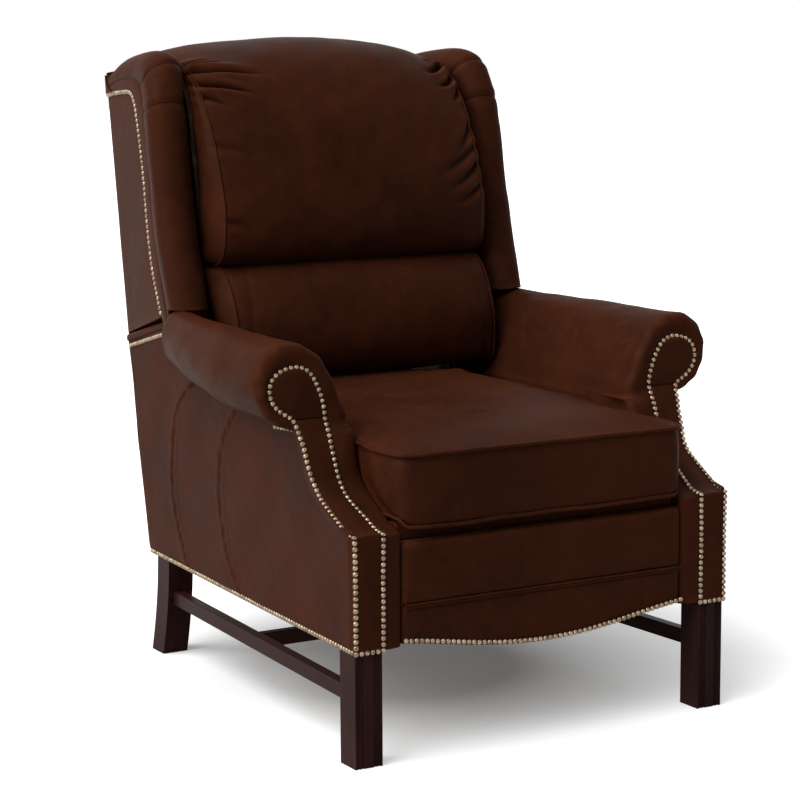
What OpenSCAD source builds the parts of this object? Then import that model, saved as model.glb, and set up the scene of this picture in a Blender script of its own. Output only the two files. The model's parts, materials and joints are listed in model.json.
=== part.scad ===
// High-leg wingback recliner with rolled arms.
// Millimetres, +Z up. The origin is on the floor, under the middle of the chair's outline.
// The front faces -Y. Left and right are as someone sees them who stands in front of the chair.
// Heights are above the floor, and depths are given from the front face of the front legs.

/* [Chair] */
// Half of the width between the inside faces of the arms
seat_half = 266; // [250:1:290]
// Width of an arm at the front, from its inside face to its outside face
arm_w = 88; // [82:1:104]
// Angle by which each side draws in towards the back
rake = 3; // [2:0.25:3.5]
// Depth of the sides along their bottom edge
side_depth = 851; // [840:1:880]
// Height of the bottom edge of the upholstery
skirt_z = 180; // [176:1:184]
// Angle by which the back edge of the sides leans
side_lean = 13; // [11:0.5:14]

/* [Legs and stretchers] */
// Width and depth of a leg
leg_w = 48; // [40:1:52]
// How far the rear legs sweep back at the floor
leg_sweep = 32; // [10:1:45]
// Radius of the reeds' grooves on the front of a leg
reed_r = 2.5; // [1:0.25:3]
// Height of the stretchers
stretcher_h = 25; // [18:1:32]
// Thickness of the stretchers
stretcher_t = 18; // [14:1:22]
// Height of the underside of the stretchers
stretcher_z = 96; // [70:1:120]
// How far the stretchers stand in from the outside of the legs
stretcher_inset = 12; // [6:1:16]
// Depth at which the cross stretcher lies
cross_y = 408; // [300:1:500]
// How far the tops of the legs reach up inside the arms
leg_tenon = 62; // [40:1:64]

/* [Arms] */
// Height at which the front of the arm starts to sweep back
bend_z = 366; // [356:1:372]
// Height of the neck under the scroll
neck_z = 525; // [518:1:530]
// Depth of the scroll's face behind the front of the legs
scroll_y = 161; // [150:1:175]
// Thickness of the padded facing on the front of the arm
facing_t = 14; // [10:1:15]
// Thickness of the padded outside panel
panel_t = 8; // [6:1:10]
// Thickness of the plywood in the arms
ply = 18; // [15:1:20]
// Height of the flat top of the arm's frame
board_z = 495; // [488:1:500]
// Height of the top of the arm roll at the front
arm_top = 646; // [635:1:655]
// How much higher the roll is at its back end
arm_top_rise = 5; // [0:1:8]
// Width of an arm roll at the front
roll_w = 166; // [154:1:176]
// Width of an arm roll at the back
roll_w_rear = 92; // [86:1:104]
// Distance of the arm rolls' ends from the back edge of the sides
roll_end_in = 157; // [147:1:172]
// Height of the seam under the padded band, at the back
band_z = 566; // [560:1:570]
// Thickness of the padded band at the back
band_t = 24; // [18:1:25]

/* [Seat] */
// Height of the underside of the seat's frame
seat_z = 350; // [349:1:351]
// Height of the seat's rails, which are wood
rail_h = 20; // [18:1:22]
// Width of the seat's rails
rail_w = 26; // [22:1:32]
// Depth of the front of the seat behind the front of the legs
seat_front = 10; // [8:1:14]
// Distance of the seat frame's back from the back edge of the sides
seat_in = 221; // [205:1:250]
// Distance of the seat cushion's back from the back edge of the sides
cushion_in = 182; // [180:1:205]
// Height of the underside of the seat cushion
cushion_z = 376; // [375.5:0.5:380]
// Thickness of the seat cushion at its welts
cushion_t = 108; // [90:1:112]
// Extra height of the crown in the middle of the cushion
cushion_crown = 38; // [20:1:40]
// Diameter of the seat spring wire
spring_wire = 3.6; // [3:0.2:4]
// Number of seat springs
springs = 5; // [3:1:6]
// How far the seat rolls forward
seat_travel = 45; // [40:1:48]

/* [Footrest] */
// Gap above the footrest panel
footrest_gap = 3; // [2:0.5:5]
// Height of the footrest panel at its ends
panel_h = 161; // [155:1:164]
// Height of the padded part above the welt
pad_h = 101; // [90:1:110]
// How far the apron dips in the middle
apron_dip = 30; // [10:1:40]
// Thickness of the footrest's board
board_t = 12; // [9:1:14]
// Thickness of the footrest's padding
pad_t = 17; // [12:1:18]

/* [Linkage] */
// Width of a steel link
link_w = 20; // [16:1:20]
// Thickness of a steel link
link_t = 4; // [3:0.5:4]
// Air between links that lie side by side
link_gap = 2; // [2:0.25:2.5]
// Length of the long link from its pivot to the cross link
long_a = 118; // [110:1:120]
// Length of the long link from the cross link to the outer link
long_b = 36; // [34:1:38]
// Slope of the long link when the footrest is closed
stowed_angle = 57; // [56:0.5:58]
// Radius of a pivot pin
pin_r = 4; // [3:0.5:4.5]
// Radius of a rivet's head
head_r = 7; // [6:0.5:7]
// Radial clearance of a pin in its hole
pin_gap = 0.08; // [0.05:0.01:0.1]
// Angle through which the footrest opens
footrest_angle = 95; // [85:1:95]

/* [Back] */
// Angle by which the back leans at rest
lean = 11; // [10:0.5:12]
// Length of the posts of the back's frame
post_len = 448; // [441:1:456]
// How much further the back's top reaches to each side than the inside faces of the arms
back_flare = 31; // [27:1:34]
// Rise of the arch over the outside panel
arch_rise = 25; // [10:1:30]
// Angle at which the wings spread towards the front
wing_spread = 8.5; // [7:0.5:9]
// Width of the back's wooden posts
post_w = 34; // [28:1:40]
// Depth of the back's wooden posts
post_d = 45; // [38:1:48]
// Distance of the head pillow's sides from the inside faces of the arms, seen from the front
pillow_gap = 9; // [8:1:21]
// Thickness of the head pillow at its welt
pillow_t = 52; // [44:1:54]
// Thickness of the lumbar cushion at its welt
lumbar_t = 66; // [58:1:68]
// Distance of the recline pivot from the back edge of the sides
pivot_in = 68; // [66:1:72]
// Height of the recline pivot
pivot_z = 285; // [283:1:287]
// Angle through which the back reclines
recline_angle = 30; // [20:1:30]

/* [Hidden] */

left = -1;
right = 1;
$fn = 48;
half = 1 / 2;
// Clearance of a soft piece from what it moves past or rests on
soft_gap = 0.5;
// Clearance of a wooden or steel face that moves past another
gap = 2;
// Overrun of a cutting tool
over = 1;
// Longer than anything that a cut goes through
far = 2000;

// Colours
leather = [0.26, 0.14, 0.10];
mahogany = [0.20, 0.09, 0.08];
beech = [0.76, 0.62, 0.43];
steel = [0.56, 0.57, 0.59];
jute = [0.62, 0.55, 0.42];
nylon = [0.15, 0.15, 0.16];

// The faces of the chair that its pieces follow
post_y = -4;
fit_gap = 0.1;
out_half = seat_half + arm_w;
back_edge = post_y + side_depth;
roll_end = back_edge - roll_end_in;
seat_rear = back_edge - seat_in;
seat_depth = seat_rear - seat_front - rail_w;
cushion_depth = back_edge - cushion_in - seat_front - over;
pivot_y = back_edge - pivot_in;
back_over = 14;
back_h = post_len + back_over;
back_half_top = seat_half + back_flare;
pillow_half = seat_half - pillow_gap;
// Points of the back unit were drawn for this depth of the sides and this length of the posts
drawn_depth = 851;
drawn_post = 448;
drawn_foot = [695, 600];
back_scale = post_len / drawn_post;
frame_foot = drawn_foot + [side_depth - drawn_depth, 0];
function in_back(p) = frame_foot + (p - drawn_foot) * back_scale;
function rear_y(z) = post_y + side_depth + (z - skirt_z) * tan(side_lean);
function out_x(y) = out_half - (y - post_y) * tan(rake);
function frame_x(y) = out_x(y) - (panel_t + ply) / cos(rake);
// The lower edge of the back unit drops from the arm rolls to the back
foot_gap = 7;
foot_z = band_z + band_t + foot_gap;
foot_y = rear_y(foot_z);
foot_slope_share = 0.29;
wing_foot = [605, 664];
wing_foot_z = in_back(wing_foot)[1];
seam_slope_share = 0.215;
function foot_at(y) = min(wing_foot_z, foot_z + (foot_y - y) * foot_slope_share);
function seam_at(y) = band_z + (rear_y(band_z) - y) * seam_slope_share;
mid_y = (post_y + foot_y + back_h * sin(lean)) / 2;
module to_frame() translate([0, -mid_y, 0]) children();

// Helpers
module mirrored(side) mirror([side == left ? 1 : 0, 0, 0]) children();
// A plate whose outline is drawn as [depth, height] and that reaches from x by t
module plate_x(x, t) translate([x, 0, 0]) rotate([90, 0, 90]) linear_extrude(t) children();
// A plate whose outline is drawn as [x, height] and that reaches from depth y by t
module plate_y(y, t) translate([0, y + t, 0]) rotate([90, 0, 0]) linear_extrude(t) children();
// A board whose outline is drawn as [x, depth] and that reaches from height z by t
module plate_z(z, t) translate([0, 0, z]) linear_extrude(t) children();
// A pin along X at [depth, height], from one x to another
module pin_x(p, x0, x1, r) translate([x0, p[0], p[1]]) rotate([0, 90, 0]) cylinder(r = r, h = x1 - x0);
function mix(a, b, t) = a + (b - a) * t;
function dir(a) = [cos(a), sin(a)];
function spread(shares, w, h) = [for (p = shares) [p[0] * w, p[1] * h]];
function moved(points, v) = [for (p = points) p + v];
function reversed(p) = [for (i = [len(p) - 1 : -1 : 0]) p[i]];
function middle(p) = [for (i = [0 : 2]) [for (q = p) q[i]] * [for (q = p) 1] / len(p)];
// A smooth open curve through points chosen by hand
function curve_at(p0, p1, p2, p3, t) =
    (p1 * 2 + (p2 - p0) * t + (p0 * 2 - p1 * 5 + p2 * 4 - p3) * t * t
    + (p1 * 3 - p0 - p2 * 3 + p3) * t * t * t) / 2;
function curve(p, steps) = [
    for (i = [0 : len(p) - 2], k = [0 : steps - 1])
        curve_at(p[max(i - 1, 0)], p[i], p[i + 1], p[min(i + 2, len(p) - 1)], k / steps),
    p[len(p) - 1]
];
// A closed skin over rings of equally many points, with a fan over each end
module loft(rings) {
    m = len(rings);
    n = len(rings[0]);
    points = concat([for (ring = rings, p = ring) p], [middle(rings[0]), middle(rings[m - 1])]);
    sides = [
        for (i = [0 : m - 2], j = [0 : n - 1])
            let (a = i * n + j, b = i * n + (j + 1) % n)
            each [[a, b, b + n], [a, b + n, a + n]]
    ];
    ends = [
        for (j = [0 : n - 1])
            each [
                [(j + 1) % n, j, m * n],
                [(m - 1) * n + j, (m - 1) * n + (j + 1) % n, m * n + 1]
            ]
    ];
    polyhedron(points, [for (f = concat(sides, ends)) reversed(f)]);
}
// A rounded rectangle as a loop from -1 to 1, squarer with a higher power
function loop_shares(n, power) = [
    for (i = [0 : n - 1])
        let (c = cos(360 * (i + half) / n), s = sin(360 * (i + half) / n))
        [sign(c) * pow(abs(c), 2 / power), sign(s) * pow(abs(s), 2 / power)]
];
// The rings of a cushion: each row of the profile is [share of the outline, height]
function cushion_rings(w, d, profile, n, power) = [
    for (row = profile)
        [for (p = loop_shares(n, power)) [p[0] * w * row[0], p[1] * d * row[0], row[1]]]
];
// The same rings, thicker by a share at their low end and thinner by it at their high end
function wedged(rings, d, share) = [
    for (ring = rings) [for (p = ring) [p[0], p[1], p[2] * (1 - share * p[1] / d)]]
];

// Legs, with the front face reeded: an edge strip, a pair of grooves, a wide bead, and again
leg_out = out_half - over * 3;
leg_top = skirt_z + leg_tenon;
rail_t = 20;
reed_shares = [0.13, 0.26, 0.74, 0.87];
lower_back_t = 12;
rear_rail_y = rear_y(skirt_z) - lower_back_t - rail_t - gap;
rear_leg_y = rear_rail_y - leg_w - gap;
rear_leg_out = out_x(rear_leg_y + leg_w) - over;
leg_shares = [[1, 0], [0.5, 0.33], [0.14, 0.68], [0, 1]];

module front_leg(side) color(mahogany) mirrored(side) {
    difference() {
        translate([leg_out - leg_w, 0, 0]) cube([leg_w, leg_w, skirt_z]);
        for (share = reed_shares)
            translate([leg_out - leg_w * share, 0, -over]) cylinder(r = reed_r, h = skirt_z + over * 2);
    }
    translate([leg_out - leg_w, post_y + facing_t + over, 0])
        cube([frame_x(leg_w) - gap - leg_out + leg_w, leg_w - post_y - facing_t - over, leg_top]);
}

function leg_side(y) = curve(moved(spread(leg_shares, leg_sweep, skirt_z), [y, 0]), 4);

module rear_leg_shape() {
    plate_x(rear_leg_out - leg_w, leg_w)
        polygon(concat(leg_side(rear_leg_y), reversed(leg_side(rear_leg_y + leg_w))));
    translate([rear_leg_out - leg_w, rear_leg_y, skirt_z - over])
        cube([frame_x(rear_leg_y + leg_w) - gap - rear_leg_out + leg_w, leg_w, leg_tenon + over]);
}

module rear_leg(side) color(mahogany) mirrored(side) rear_leg_shape();

// Stretchers: one from leg to leg at each side, and one across
stretcher_front_x = leg_out - stretcher_inset;
stretcher_rear_x = rear_leg_out - stretcher_inset;
stretcher_run = rear_leg_y + leg_sweep - leg_w;
function stretcher_x(y) = mix(stretcher_front_x, stretcher_rear_x, (y - leg_w) / stretcher_run);

module side_stretcher(side) color(mahogany) mirrored(side) difference() {
    plate_z(stretcher_z, stretcher_h) polygon([
        [stretcher_front_x, leg_w], [stretcher_rear_x, leg_w + stretcher_run],
        [stretcher_rear_x - stretcher_t, leg_w + stretcher_run], [stretcher_front_x - stretcher_t, leg_w]
    ]);
    rear_leg_shape();
}

module cross_stretcher() color(mahogany) plate_z(stretcher_z, stretcher_h) polygon([
    for (side = [left, right], end = side == left ? [0, 1] : [1, 0])
        [side * (stretcher_x(cross_y + end * stretcher_t) - stretcher_t), cross_y + end * stretcher_t]
]);

// The outline of a side, as [depth, height], behind the facing
arm_curve_shares = [
    [0, 0], [0.145, 0.025], [0.30, 0.107], [0.47, 0.20], [0.63, 0.302], [0.74, 0.428], [0.80, 0.565],
    [0.855, 0.70], [0.915, 0.849], [1, 1]
];
arm_curve = moved(
    curve(spread(arm_curve_shares, scroll_y - post_y, neck_z - bend_z), 2), [post_y, bend_z]);

// Along the slanted side itself, depths are longer by this share, and start further back inside
along_side = 1 / cos(rake);
function inward(depth) = depth * tan(rake);
function along(points, share) = [for (p = points) [post_y + (p[0] - post_y) * share, p[1]]];
module side_outline(share, shift) difference() {
    polygon(concat(
        moved(along([
            [post_y + facing_t, skirt_z], each moved(arm_curve, [facing_t, 0]),
            [roll_end, seam_at(roll_end)]
        ], share), [shift, 0]),
        along([
            [rear_y(band_z) - lower_back_t, band_z], [rear_y(skirt_z) - lower_back_t, skirt_z]
        ], share)
    ));
    translate([shift - far + post_y + (roll_end - post_y) * share, board_z]) square(far);
}
// What follows stands in the plane of the right side, which draws in towards the back
module raked(depth) translate([out_half, post_y, 0]) rotate([0, 0, rake])
    translate([-depth, -post_y, 0]) children();

module side_panel(side) color(leather) mirrored(side)
    raked(panel_t) plate_x(0, panel_t) side_outline(along_side, inward(panel_t));

// The plywood frame of an arm, with lightening holes over the runner rail
light_h = 76;
light_r = 20;
light_y = 190;
lights = 5;
light_pitch_share = 0.236;
light_w_share = 0.76;
light_pitch = (roll_end - light_y) * light_pitch_share;
light_w = light_pitch * light_w_share;
light_z = 386;

module light_hole() translate([light_r, light_r]) {
    square([light_w - light_r * 2, light_h - light_r * 2]);
    for (x = [0, light_w - light_r * 2], z = [0, light_h - light_r * 2]) translate([x, z]) circle(light_r);
    translate([-light_r, 0]) square([light_w, light_h - light_r * 2]);
    translate([0, -light_r]) square([light_w - light_r * 2, light_h]);
}

module side_frame(side) color(beech) mirrored(side) raked(panel_t + ply) plate_x(0, ply) difference() {
    side_outline(along_side, inward(panel_t + ply));
    for (i = [0 : lights - 1]) translate([light_y + i * light_pitch, light_z]) light_hole();
}

// The wooden rail inside each arm that carries the steel base plate
runner_y = 52;
runner_in = 27;
runner_end = back_edge - runner_in;
runner_z = 250;
runner_h = 100;
bolt_r = 4;
bolt_z = 266;
bolt_shares = [0.05, 0.35, 0.65, 0.93];
bolt_end_gap = 1.6;
bolt_head_r = 6.5;
bolt_head_t = 3;
base_x = seat_half - link_t;
function bolt_y(share) = mix(runner_y, runner_end, share);
bolt_len = frame_x(bolt_y(bolt_shares[len(bolt_shares) - 1])) - seat_half - bolt_end_gap;

module runner_rail(side) color(beech) mirrored(side) difference() {
    plate_z(runner_z, runner_h) polygon([
        [seat_half, runner_y], [frame_x(runner_y), runner_y],
        [frame_x(runner_end), runner_end], [seat_half, runner_end]
    ]);
    for (share = bolt_shares)
        pin_x([bolt_y(share), bolt_z], seat_half - over, seat_half + bolt_len, bolt_r + pin_gap);
}

// Rails across the base: one behind the folded links, one in front of the lower back panel
front_rail_y = 224;
front_rail_d = 60;
rear_rail_h = 62;
cross_rail_lift = 4;

module cross_rail(y, d, h) plate_z(skirt_z + cross_rail_lift, h) polygon([
    [-frame_x(y), y], [frame_x(y), y], [frame_x(y + d), y + d], [-frame_x(y + d), y + d]
]);
module front_rail() color(beech) cross_rail(front_rail_y, front_rail_d, rail_t);
module rear_rail() color(beech) cross_rail(rear_rail_y, rail_t, rear_rail_h);

// The padded inside of an arm, from the runner rail up to the arm board
inside_arm_over = 48;
inside_arm_end = roll_end + inside_arm_over;
module inside_arm(side) color(leather) mirrored(side) intersection() {
    plate_x(seat_half, out_half) side_outline(1, 0);
    plate_z(runner_z + runner_h, board_z - runner_z - runner_h) polygon([
        [seat_half, 0], [frame_x(0) - fit_gap, 0],
        [frame_x(inside_arm_end) - fit_gap, inside_arm_end], [seat_half, inside_arm_end]
    ]);
}

// The arm roll: outlines at its front and back, from the inside round to the neck outside
roll_front_shares = [
    [0, 0], [0.02, 0.11], [0.06, 0.285], [0.135, 0.50], [0.235, 0.72], [0.36, 0.89], [0.51, 0.975],
    [0.67, 1], [0.82, 0.955], [0.93, 0.84], [0.99, 0.70], [1, 0.57], [0.965, 0.43], [0.89, 0.31],
    [0.78, 0.215], [0.65, 0.155], [0.555, 0.10], [0.53, 0]
];
roll_rear_shares = [
    [0, 0], [0.03, 0.13], [0.08, 0.31], [0.16, 0.52], [0.27, 0.74], [0.40, 0.90], [0.55, 0.975],
    [0.70, 1], [0.84, 0.965], [0.94, 0.88], [0.99, 0.78], [1, 0.68], [0.975, 0.59], [0.90, 0.52],
    [0.80, 0.475], [0.70, 0.44], [0.60, 0.35], [0.565, 0]
];
roll_steps = 9;
roll_end_shares = [[0, 1], [0.45, 0.97], [0.8, 0.87], [1, 0.68]];
roll_round = 26;
function roll_points(y) = let (
        t = (y - scroll_y) / (roll_end - scroll_y),
        w = mix(roll_w, roll_w_rear, t),
        h = arm_top + arm_top_rise * t - board_z,
        a = spread(roll_front_shares, w, h),
        b = spread(roll_rear_shares, w, h)
    ) [for (i = [0 : len(a) - 1]) [seat_half, board_z] + mix(a[i], b[i], t)];
function roll_ring(y, share) = let (
        p = roll_points(y),
        c = [mix(seat_half, p[11][0], half), mix(board_z, p[7][1], half)]
    ) [for (q = p) [mix(c[0], q[0], share), y, max(board_z, mix(c[1], q[1], share))]];

module arm_roll(side) color(leather) mirrored(side) loft([
    for (i = [0 : roll_steps])
        roll_ring(mix(scroll_y + facing_t, roll_end - roll_round, i / roll_steps), 1),
    for (row = roll_end_shares) if (row[0] > 0) roll_ring(roll_end - roll_round * (1 - row[0]), row[1])
]);

// The facing on the front of an arm: a ribbon up the post and the sweep, then the scroll
module arm_front(side) color(leather) mirrored(side) {
    plate_x(seat_half, out_half - seat_half) polygon(concat(
        [[post_y, skirt_z]], arm_curve,
        reversed(moved(arm_curve, [facing_t, 0])), [[post_y + facing_t, skirt_z]]
    ));
    plate_y(scroll_y, facing_t) polygon(curve(roll_points(scroll_y), 2));
}

// The padded band behind the arm roll, up to the lower edge of the back unit
band_x = 36;
band_knee = foot_y - (arm_top + foot_gap - foot_z) / foot_slope_share;
module rear_band(side) color(leather) mirrored(side) raked(band_x) plate_x(0, band_x) polygon(along([
    [roll_end + inward(band_x), seam_at(roll_end)], [rear_y(band_z) - lower_back_t, band_z],
    [rear_y(foot_z - foot_gap) - lower_back_t, foot_z - foot_gap],
    [band_knee, arm_top], [roll_end + inward(band_x), arm_top]
], along_side));

// The lower outside back, which stays with the base
module lower_back_panel() color(leather) translate([0, rear_y(skirt_z), skirt_z]) rotate([-side_lean, 0, 0])
    plate_y(-lower_back_t * cos(side_lean), lower_back_t * cos(side_lean)) polygon([
        for (side = [left, right], end = side == left ? [1, 0] : [0, 1])
            [
                side * out_x(rear_y(mix(skirt_z, foot_z, end))),
                end * (foot_z - foot_gap - gap - skirt_z) / cos(side_lean)
            ]
    ]);

// Places of the linkage, as [depth, height] with the footrest closed
layer = link_t + link_gap;
plate_in = base_x - layer;
function layer_x(i) = plate_in - layer * i;
long_pivot = [80, 326];
crank_offset = [52, -30];
crank_pivot = long_pivot + crank_offset;
long_dir = dir(-stowed_angle);
long_mid = long_pivot + long_a * long_dir;
long_end = long_pivot + (long_a + long_b) * long_dir;
crank_end = crank_pivot + long_a * long_dir;
bracket_top = [42, 324];
bracket_low = bracket_top + long_b * long_dir;
// The crank's arm is as long as makes its pin stand still while the seat rolls forward
crank_r = seat_travel / (2 * sin(footrest_angle / 2));
crank_pin = crank_pivot + crank_r * dir(90 + footrest_angle / 2);
crank_w = 14;
cross_w = 18;
fork_play = 1.6;
tube_r = 6.5;
tube_wall = 1.5;
tube_arm = 15;
tube_at = long_pivot - tube_arm * long_dir;
head_t = 1.6;
spacer_r = 5;
play = (link_gap - head_t) / 2;

// A flat strip from one point to another, with round ends
module strip(p, q, w) translate(p) rotate(atan2(q[1] - p[1], q[0] - p[0])) {
    translate([0, -w / 2]) square([norm(q - p), w]);
    circle(w / 2);
    translate([norm(q - p), 0]) circle(w / 2);
}
// A slot along an arc round a centre
arc_n = 14;
module arc_slot(c, r, from, to, w) translate(c) polygon([
    for (k = [0 : arc_n]) (r + w / 2) * dir(mix(from, to, k / arc_n)),
    for (k = [1 : arc_n - 1]) r * dir(to) + w / 2 * dir(to + 180 * k / arc_n),
    for (k = [0 : arc_n]) (r - w / 2) * dir(mix(to, from, k / arc_n)),
    for (k = [1 : arc_n - 1]) r * dir(from) + w / 2 * dir(from + 180 + 180 * k / arc_n)
]);
module hole(p, r) translate(p) circle(r + pin_gap);
// A pin that starts on one layer, passes the layers between, and is riveted behind another
module rivet(p, from, to, r) {
    pin_x(p, layer_x(to) - play - head_t, layer_x(from), r);
    pin_x(p, layer_x(to) - play - head_t, layer_x(to) - play, head_r);
    if (to > from + 1) pin_x(p, layer_x(to) + link_t + play, layer_x(from), spacer_r + over);
}

// The steel plate on the inside of each arm: slots for the rollers, the fork, and the recline
roller_r = 11;
roller_pin_r = 5;
roller_gap = 0.5;
roller_in = 106;
roller_ys = [230, seat_rear - roller_in];
roller_z = 318;
plate_front = 60;
plate_rear = runner_end - gap;
plate_low = 254;
plate_high = 345;
pivot = [pivot_y, pivot_z];
pivot_r = 8;
pivot_head_r = 12;
stop_r = 60;
stop_pin_r = 5;
stop_gap = 0.5;
corner_r = 10;

module rounded(p, q, r) translate(p + [r, r]) {
    square(q - p - [r, r] * 2);
    translate([-r, 0]) square(q - p - [0, r] * 2);
    translate([0, -r]) square(q - p - [r, 0] * 2);
    for (x = [0, q[0] - p[0] - r * 2], y = [0, q[1] - p[1] - r * 2]) translate([x, y]) circle(r);
}

module base_plate(side) color(steel) mirrored(side) {
    difference() {
        plate_x(base_x, link_t) difference() {
            rounded([plate_front, plate_low], [plate_rear, plate_high], corner_r);
            for (y = roller_ys)
                strip([y - seat_travel, roller_z], [y, roller_z], (roller_r + roller_gap) * 2);
            strip(
                [crank_pin[0], crank_pin[1] - fork_play],
                [crank_pin[0], crank_pivot[1] + crank_r + fork_play], (pin_r + fork_play) * 2);
            arc_slot(pivot, stop_r, 180 - recline_angle, 180, (stop_pin_r + stop_gap) * 2);
            for (share = bolt_shares) hole([bolt_y(share), bolt_z], bolt_r);
        }
        for (share = bolt_shares)
            pin_x([bolt_y(share), bolt_z], base_x - over, base_x + bolt_head_t, bolt_head_r + pin_gap);
    }
    pin_x(pivot, plate_in - play - head_t, base_x, pivot_r);
    pin_x(pivot, plate_in - play - head_t, plate_in - play, pivot_head_r);
    pin_x(pivot, plate_in + link_t + play, base_x, pivot_head_r);
}

module mechanism_bolts() color(steel) for (side = [left, right], share = bolt_shares) mirrored(side) {
    pin_x([bolt_y(share), bolt_z], base_x, base_x + bolt_head_t, bolt_head_r);
    pin_x([bolt_y(share), bolt_z], base_x, seat_half + bolt_len, bolt_r);
}

// The seat: a wooden frame, sinuous springs, a deck with its front border, and the cushion
frame_front = seat_front + rail_w;
frame_half = plate_in;
spring_low = seat_z + rail_h;
deck_low = spring_low + spring_wire;

module seat_frame() color(beech) plate_z(seat_z, rail_h) difference() {
    translate([-frame_half, frame_front]) square([frame_half * 2, seat_depth]);
    translate([-frame_half + rail_w, frame_front + rail_w])
        square([(frame_half - rail_w) * 2, seat_depth - rail_w * 2]);
}

bends = 15;
spring_half = 17;
spring_pitch = (seat_depth - rail_w / 2) / bends;
spring_spread_share = 1 / 3;
spring_spread = (frame_half - rail_w) * spring_spread_share;
module bend(outer, r, w) intersection() {
    difference() {
        circle(r + w / 2);
        circle(r - w / 2);
    }
    translate([outer < 0 ? -r * 2 : 0, -r * 2]) square([r * 2, r * 4]);
}
module sinuous() for (k = [0 : bends]) translate([0, k * spring_pitch]) {
    translate([-spring_half, -spring_wire / 2]) square([spring_half * 2, spring_wire]);
    if (k < bends)
        translate([spring_half * (k % 2 == 0 ? 1 : -1), spring_pitch / 2])
            bend(k % 2 == 0 ? 1 : -1, spring_pitch / 2, spring_wire);
}
module seat_springs() color(steel) plate_z(spring_low, spring_wire)
    for (i = [0 : springs - 1])
        translate([(i - (springs - 1) / 2) * spring_spread, frame_front + rail_w / 4]) sinuous();

deck_gap = 11;
border_gap = 4;
deck_over = 29;
deck_rear = seat_rear + deck_over;
module seat_deck() color(leather) {
    translate([-seat_half + deck_gap, frame_front, deck_low])
        cube([(seat_half - deck_gap) * 2, deck_rear - frame_front, cushion_z - deck_low]);
    translate([-seat_half + border_gap, seat_front, seat_z + over])
        cube([(seat_half - border_gap) * 2, frame_front - seat_front, cushion_z - seat_z - over]);
}

// The seat cushion as shares of its outline and heights in shares of its thickness
seat_profile_shares = [
    [0.955, 0], [0.978, 0.03], [0.992, 0.07], [0.997, 0.30], [0.998, 0.55], [1, 0.88], [0.996, 1],
    [0.97, 1.07], [0.92, 1.12], [0.82, 1.165], [0.66, 1.205], [0.45, 1.23], [0.22, 1.24]
];
crown_share = seat_profile_shares[len(seat_profile_shares) - 1][1] - 1;
cushion_power = 9;
cushion_n = 72;
module seat_cushion() color(leather)
    translate([0, seat_front + over + cushion_depth / 2, cushion_z])
        loft(cushion_rings(seat_half - soft_gap, cushion_depth / 2, [
            for (row = seat_profile_shares)
                [row[0], min(row[1], 1) * cushion_t + max(0, row[1] - 1) / crown_share * cushion_crown]
        ], cushion_n, cushion_power));

// The steel plate on each side of the seat, with the pivots of the footrest linkage
seat_plate_x = plate_in;
plate_margin = 14;
seat_plate_over = 34;
seat_plate_rear = roller_ys[1] + seat_plate_over;
module seat_plate(side) color(steel) mirrored(side) {
    plate_x(seat_plate_x, link_t) difference() {
        union() {
            polygon([
                [long_pivot[0] - plate_margin, spring_low], [long_pivot[0] - plate_margin, long_pivot[1]],
                [crank_pivot[0] - plate_margin, crank_pivot[1]],
                [crank_pivot[0] + plate_margin, crank_pivot[1]],
                [roller_ys[0], roller_z - plate_margin], [roller_ys[1], roller_z - plate_margin],
                [seat_plate_rear, spring_low]
            ]);
            for (p = [long_pivot, crank_pivot]) translate(p) circle(plate_margin);
        }
        arc_slot(crank_pivot, crank_r, 90 - footrest_angle / 2, 90 + footrest_angle / 2,
            (pin_r + stop_gap) * 2);
    }
    for (y = roller_ys)
        pin_x([y, roller_z], seat_plate_x, seat_half - play, roller_pin_r);
    rivet(long_pivot, 0, 1, pin_r);
    rivet(crank_pivot, 0, 1, pin_r);
}

module seat_rollers() color(nylon) for (side = [left, right], y = roller_ys) mirrored(side)
    plate_x(base_x + play, link_t - play * 2) difference() {
        translate([y, roller_z]) circle(roller_r);
        hole([y, roller_z], roller_pin_r);
    }

// The footrest linkage: two parallelograms, one over the other
module long_link(side) color(steel) mirrored(side) {
    plate_x(layer_x(1), link_t) difference() {
        union() {
            strip(long_pivot, long_end, link_w);
            strip(long_pivot, tube_at, tube_r * 2 + gap);
        }
        hole(long_pivot, pin_r);
    }
    rivet(long_mid, 1, 2, pin_r);
    rivet(long_end, 1, 3, pin_r);
}

module torque_tube() color(steel) difference() {
    pin_x(tube_at, -layer_x(1), layer_x(1), tube_r);
    pin_x(tube_at, -layer_x(0), layer_x(0), tube_r - tube_wall);
}

module bell_crank(side) color(steel) mirrored(side) {
    plate_x(layer_x(1), link_t) difference() {
        union() {
            strip(crank_pivot, crank_end, link_w);
            strip(crank_pivot, crank_pin, crank_w);
        }
        hole(crank_pivot, pin_r);
    }
    pin_x(crank_pin, layer_x(1), seat_half - play, pin_r);
    rivet(crank_end, 1, 2, pin_r);
}

module cross_link(side) color(steel) mirrored(side) {
    plate_x(layer_x(2), link_t) difference() {
        union() {
            strip(crank_end, long_mid, cross_w);
            strip(long_mid, bracket_top, cross_w);
        }
        hole(crank_end, pin_r);
        hole(long_mid, pin_r);
    }
    rivet(bracket_top, 2, 4, pin_r);
}

module outer_link(side) color(steel) mirrored(side) {
    plate_x(layer_x(3), link_t) difference() {
        strip(long_end, bracket_low, link_w);
        hole(long_end, pin_r);
    }
    rivet(bracket_low, 3, 4, pin_r);
}

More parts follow.
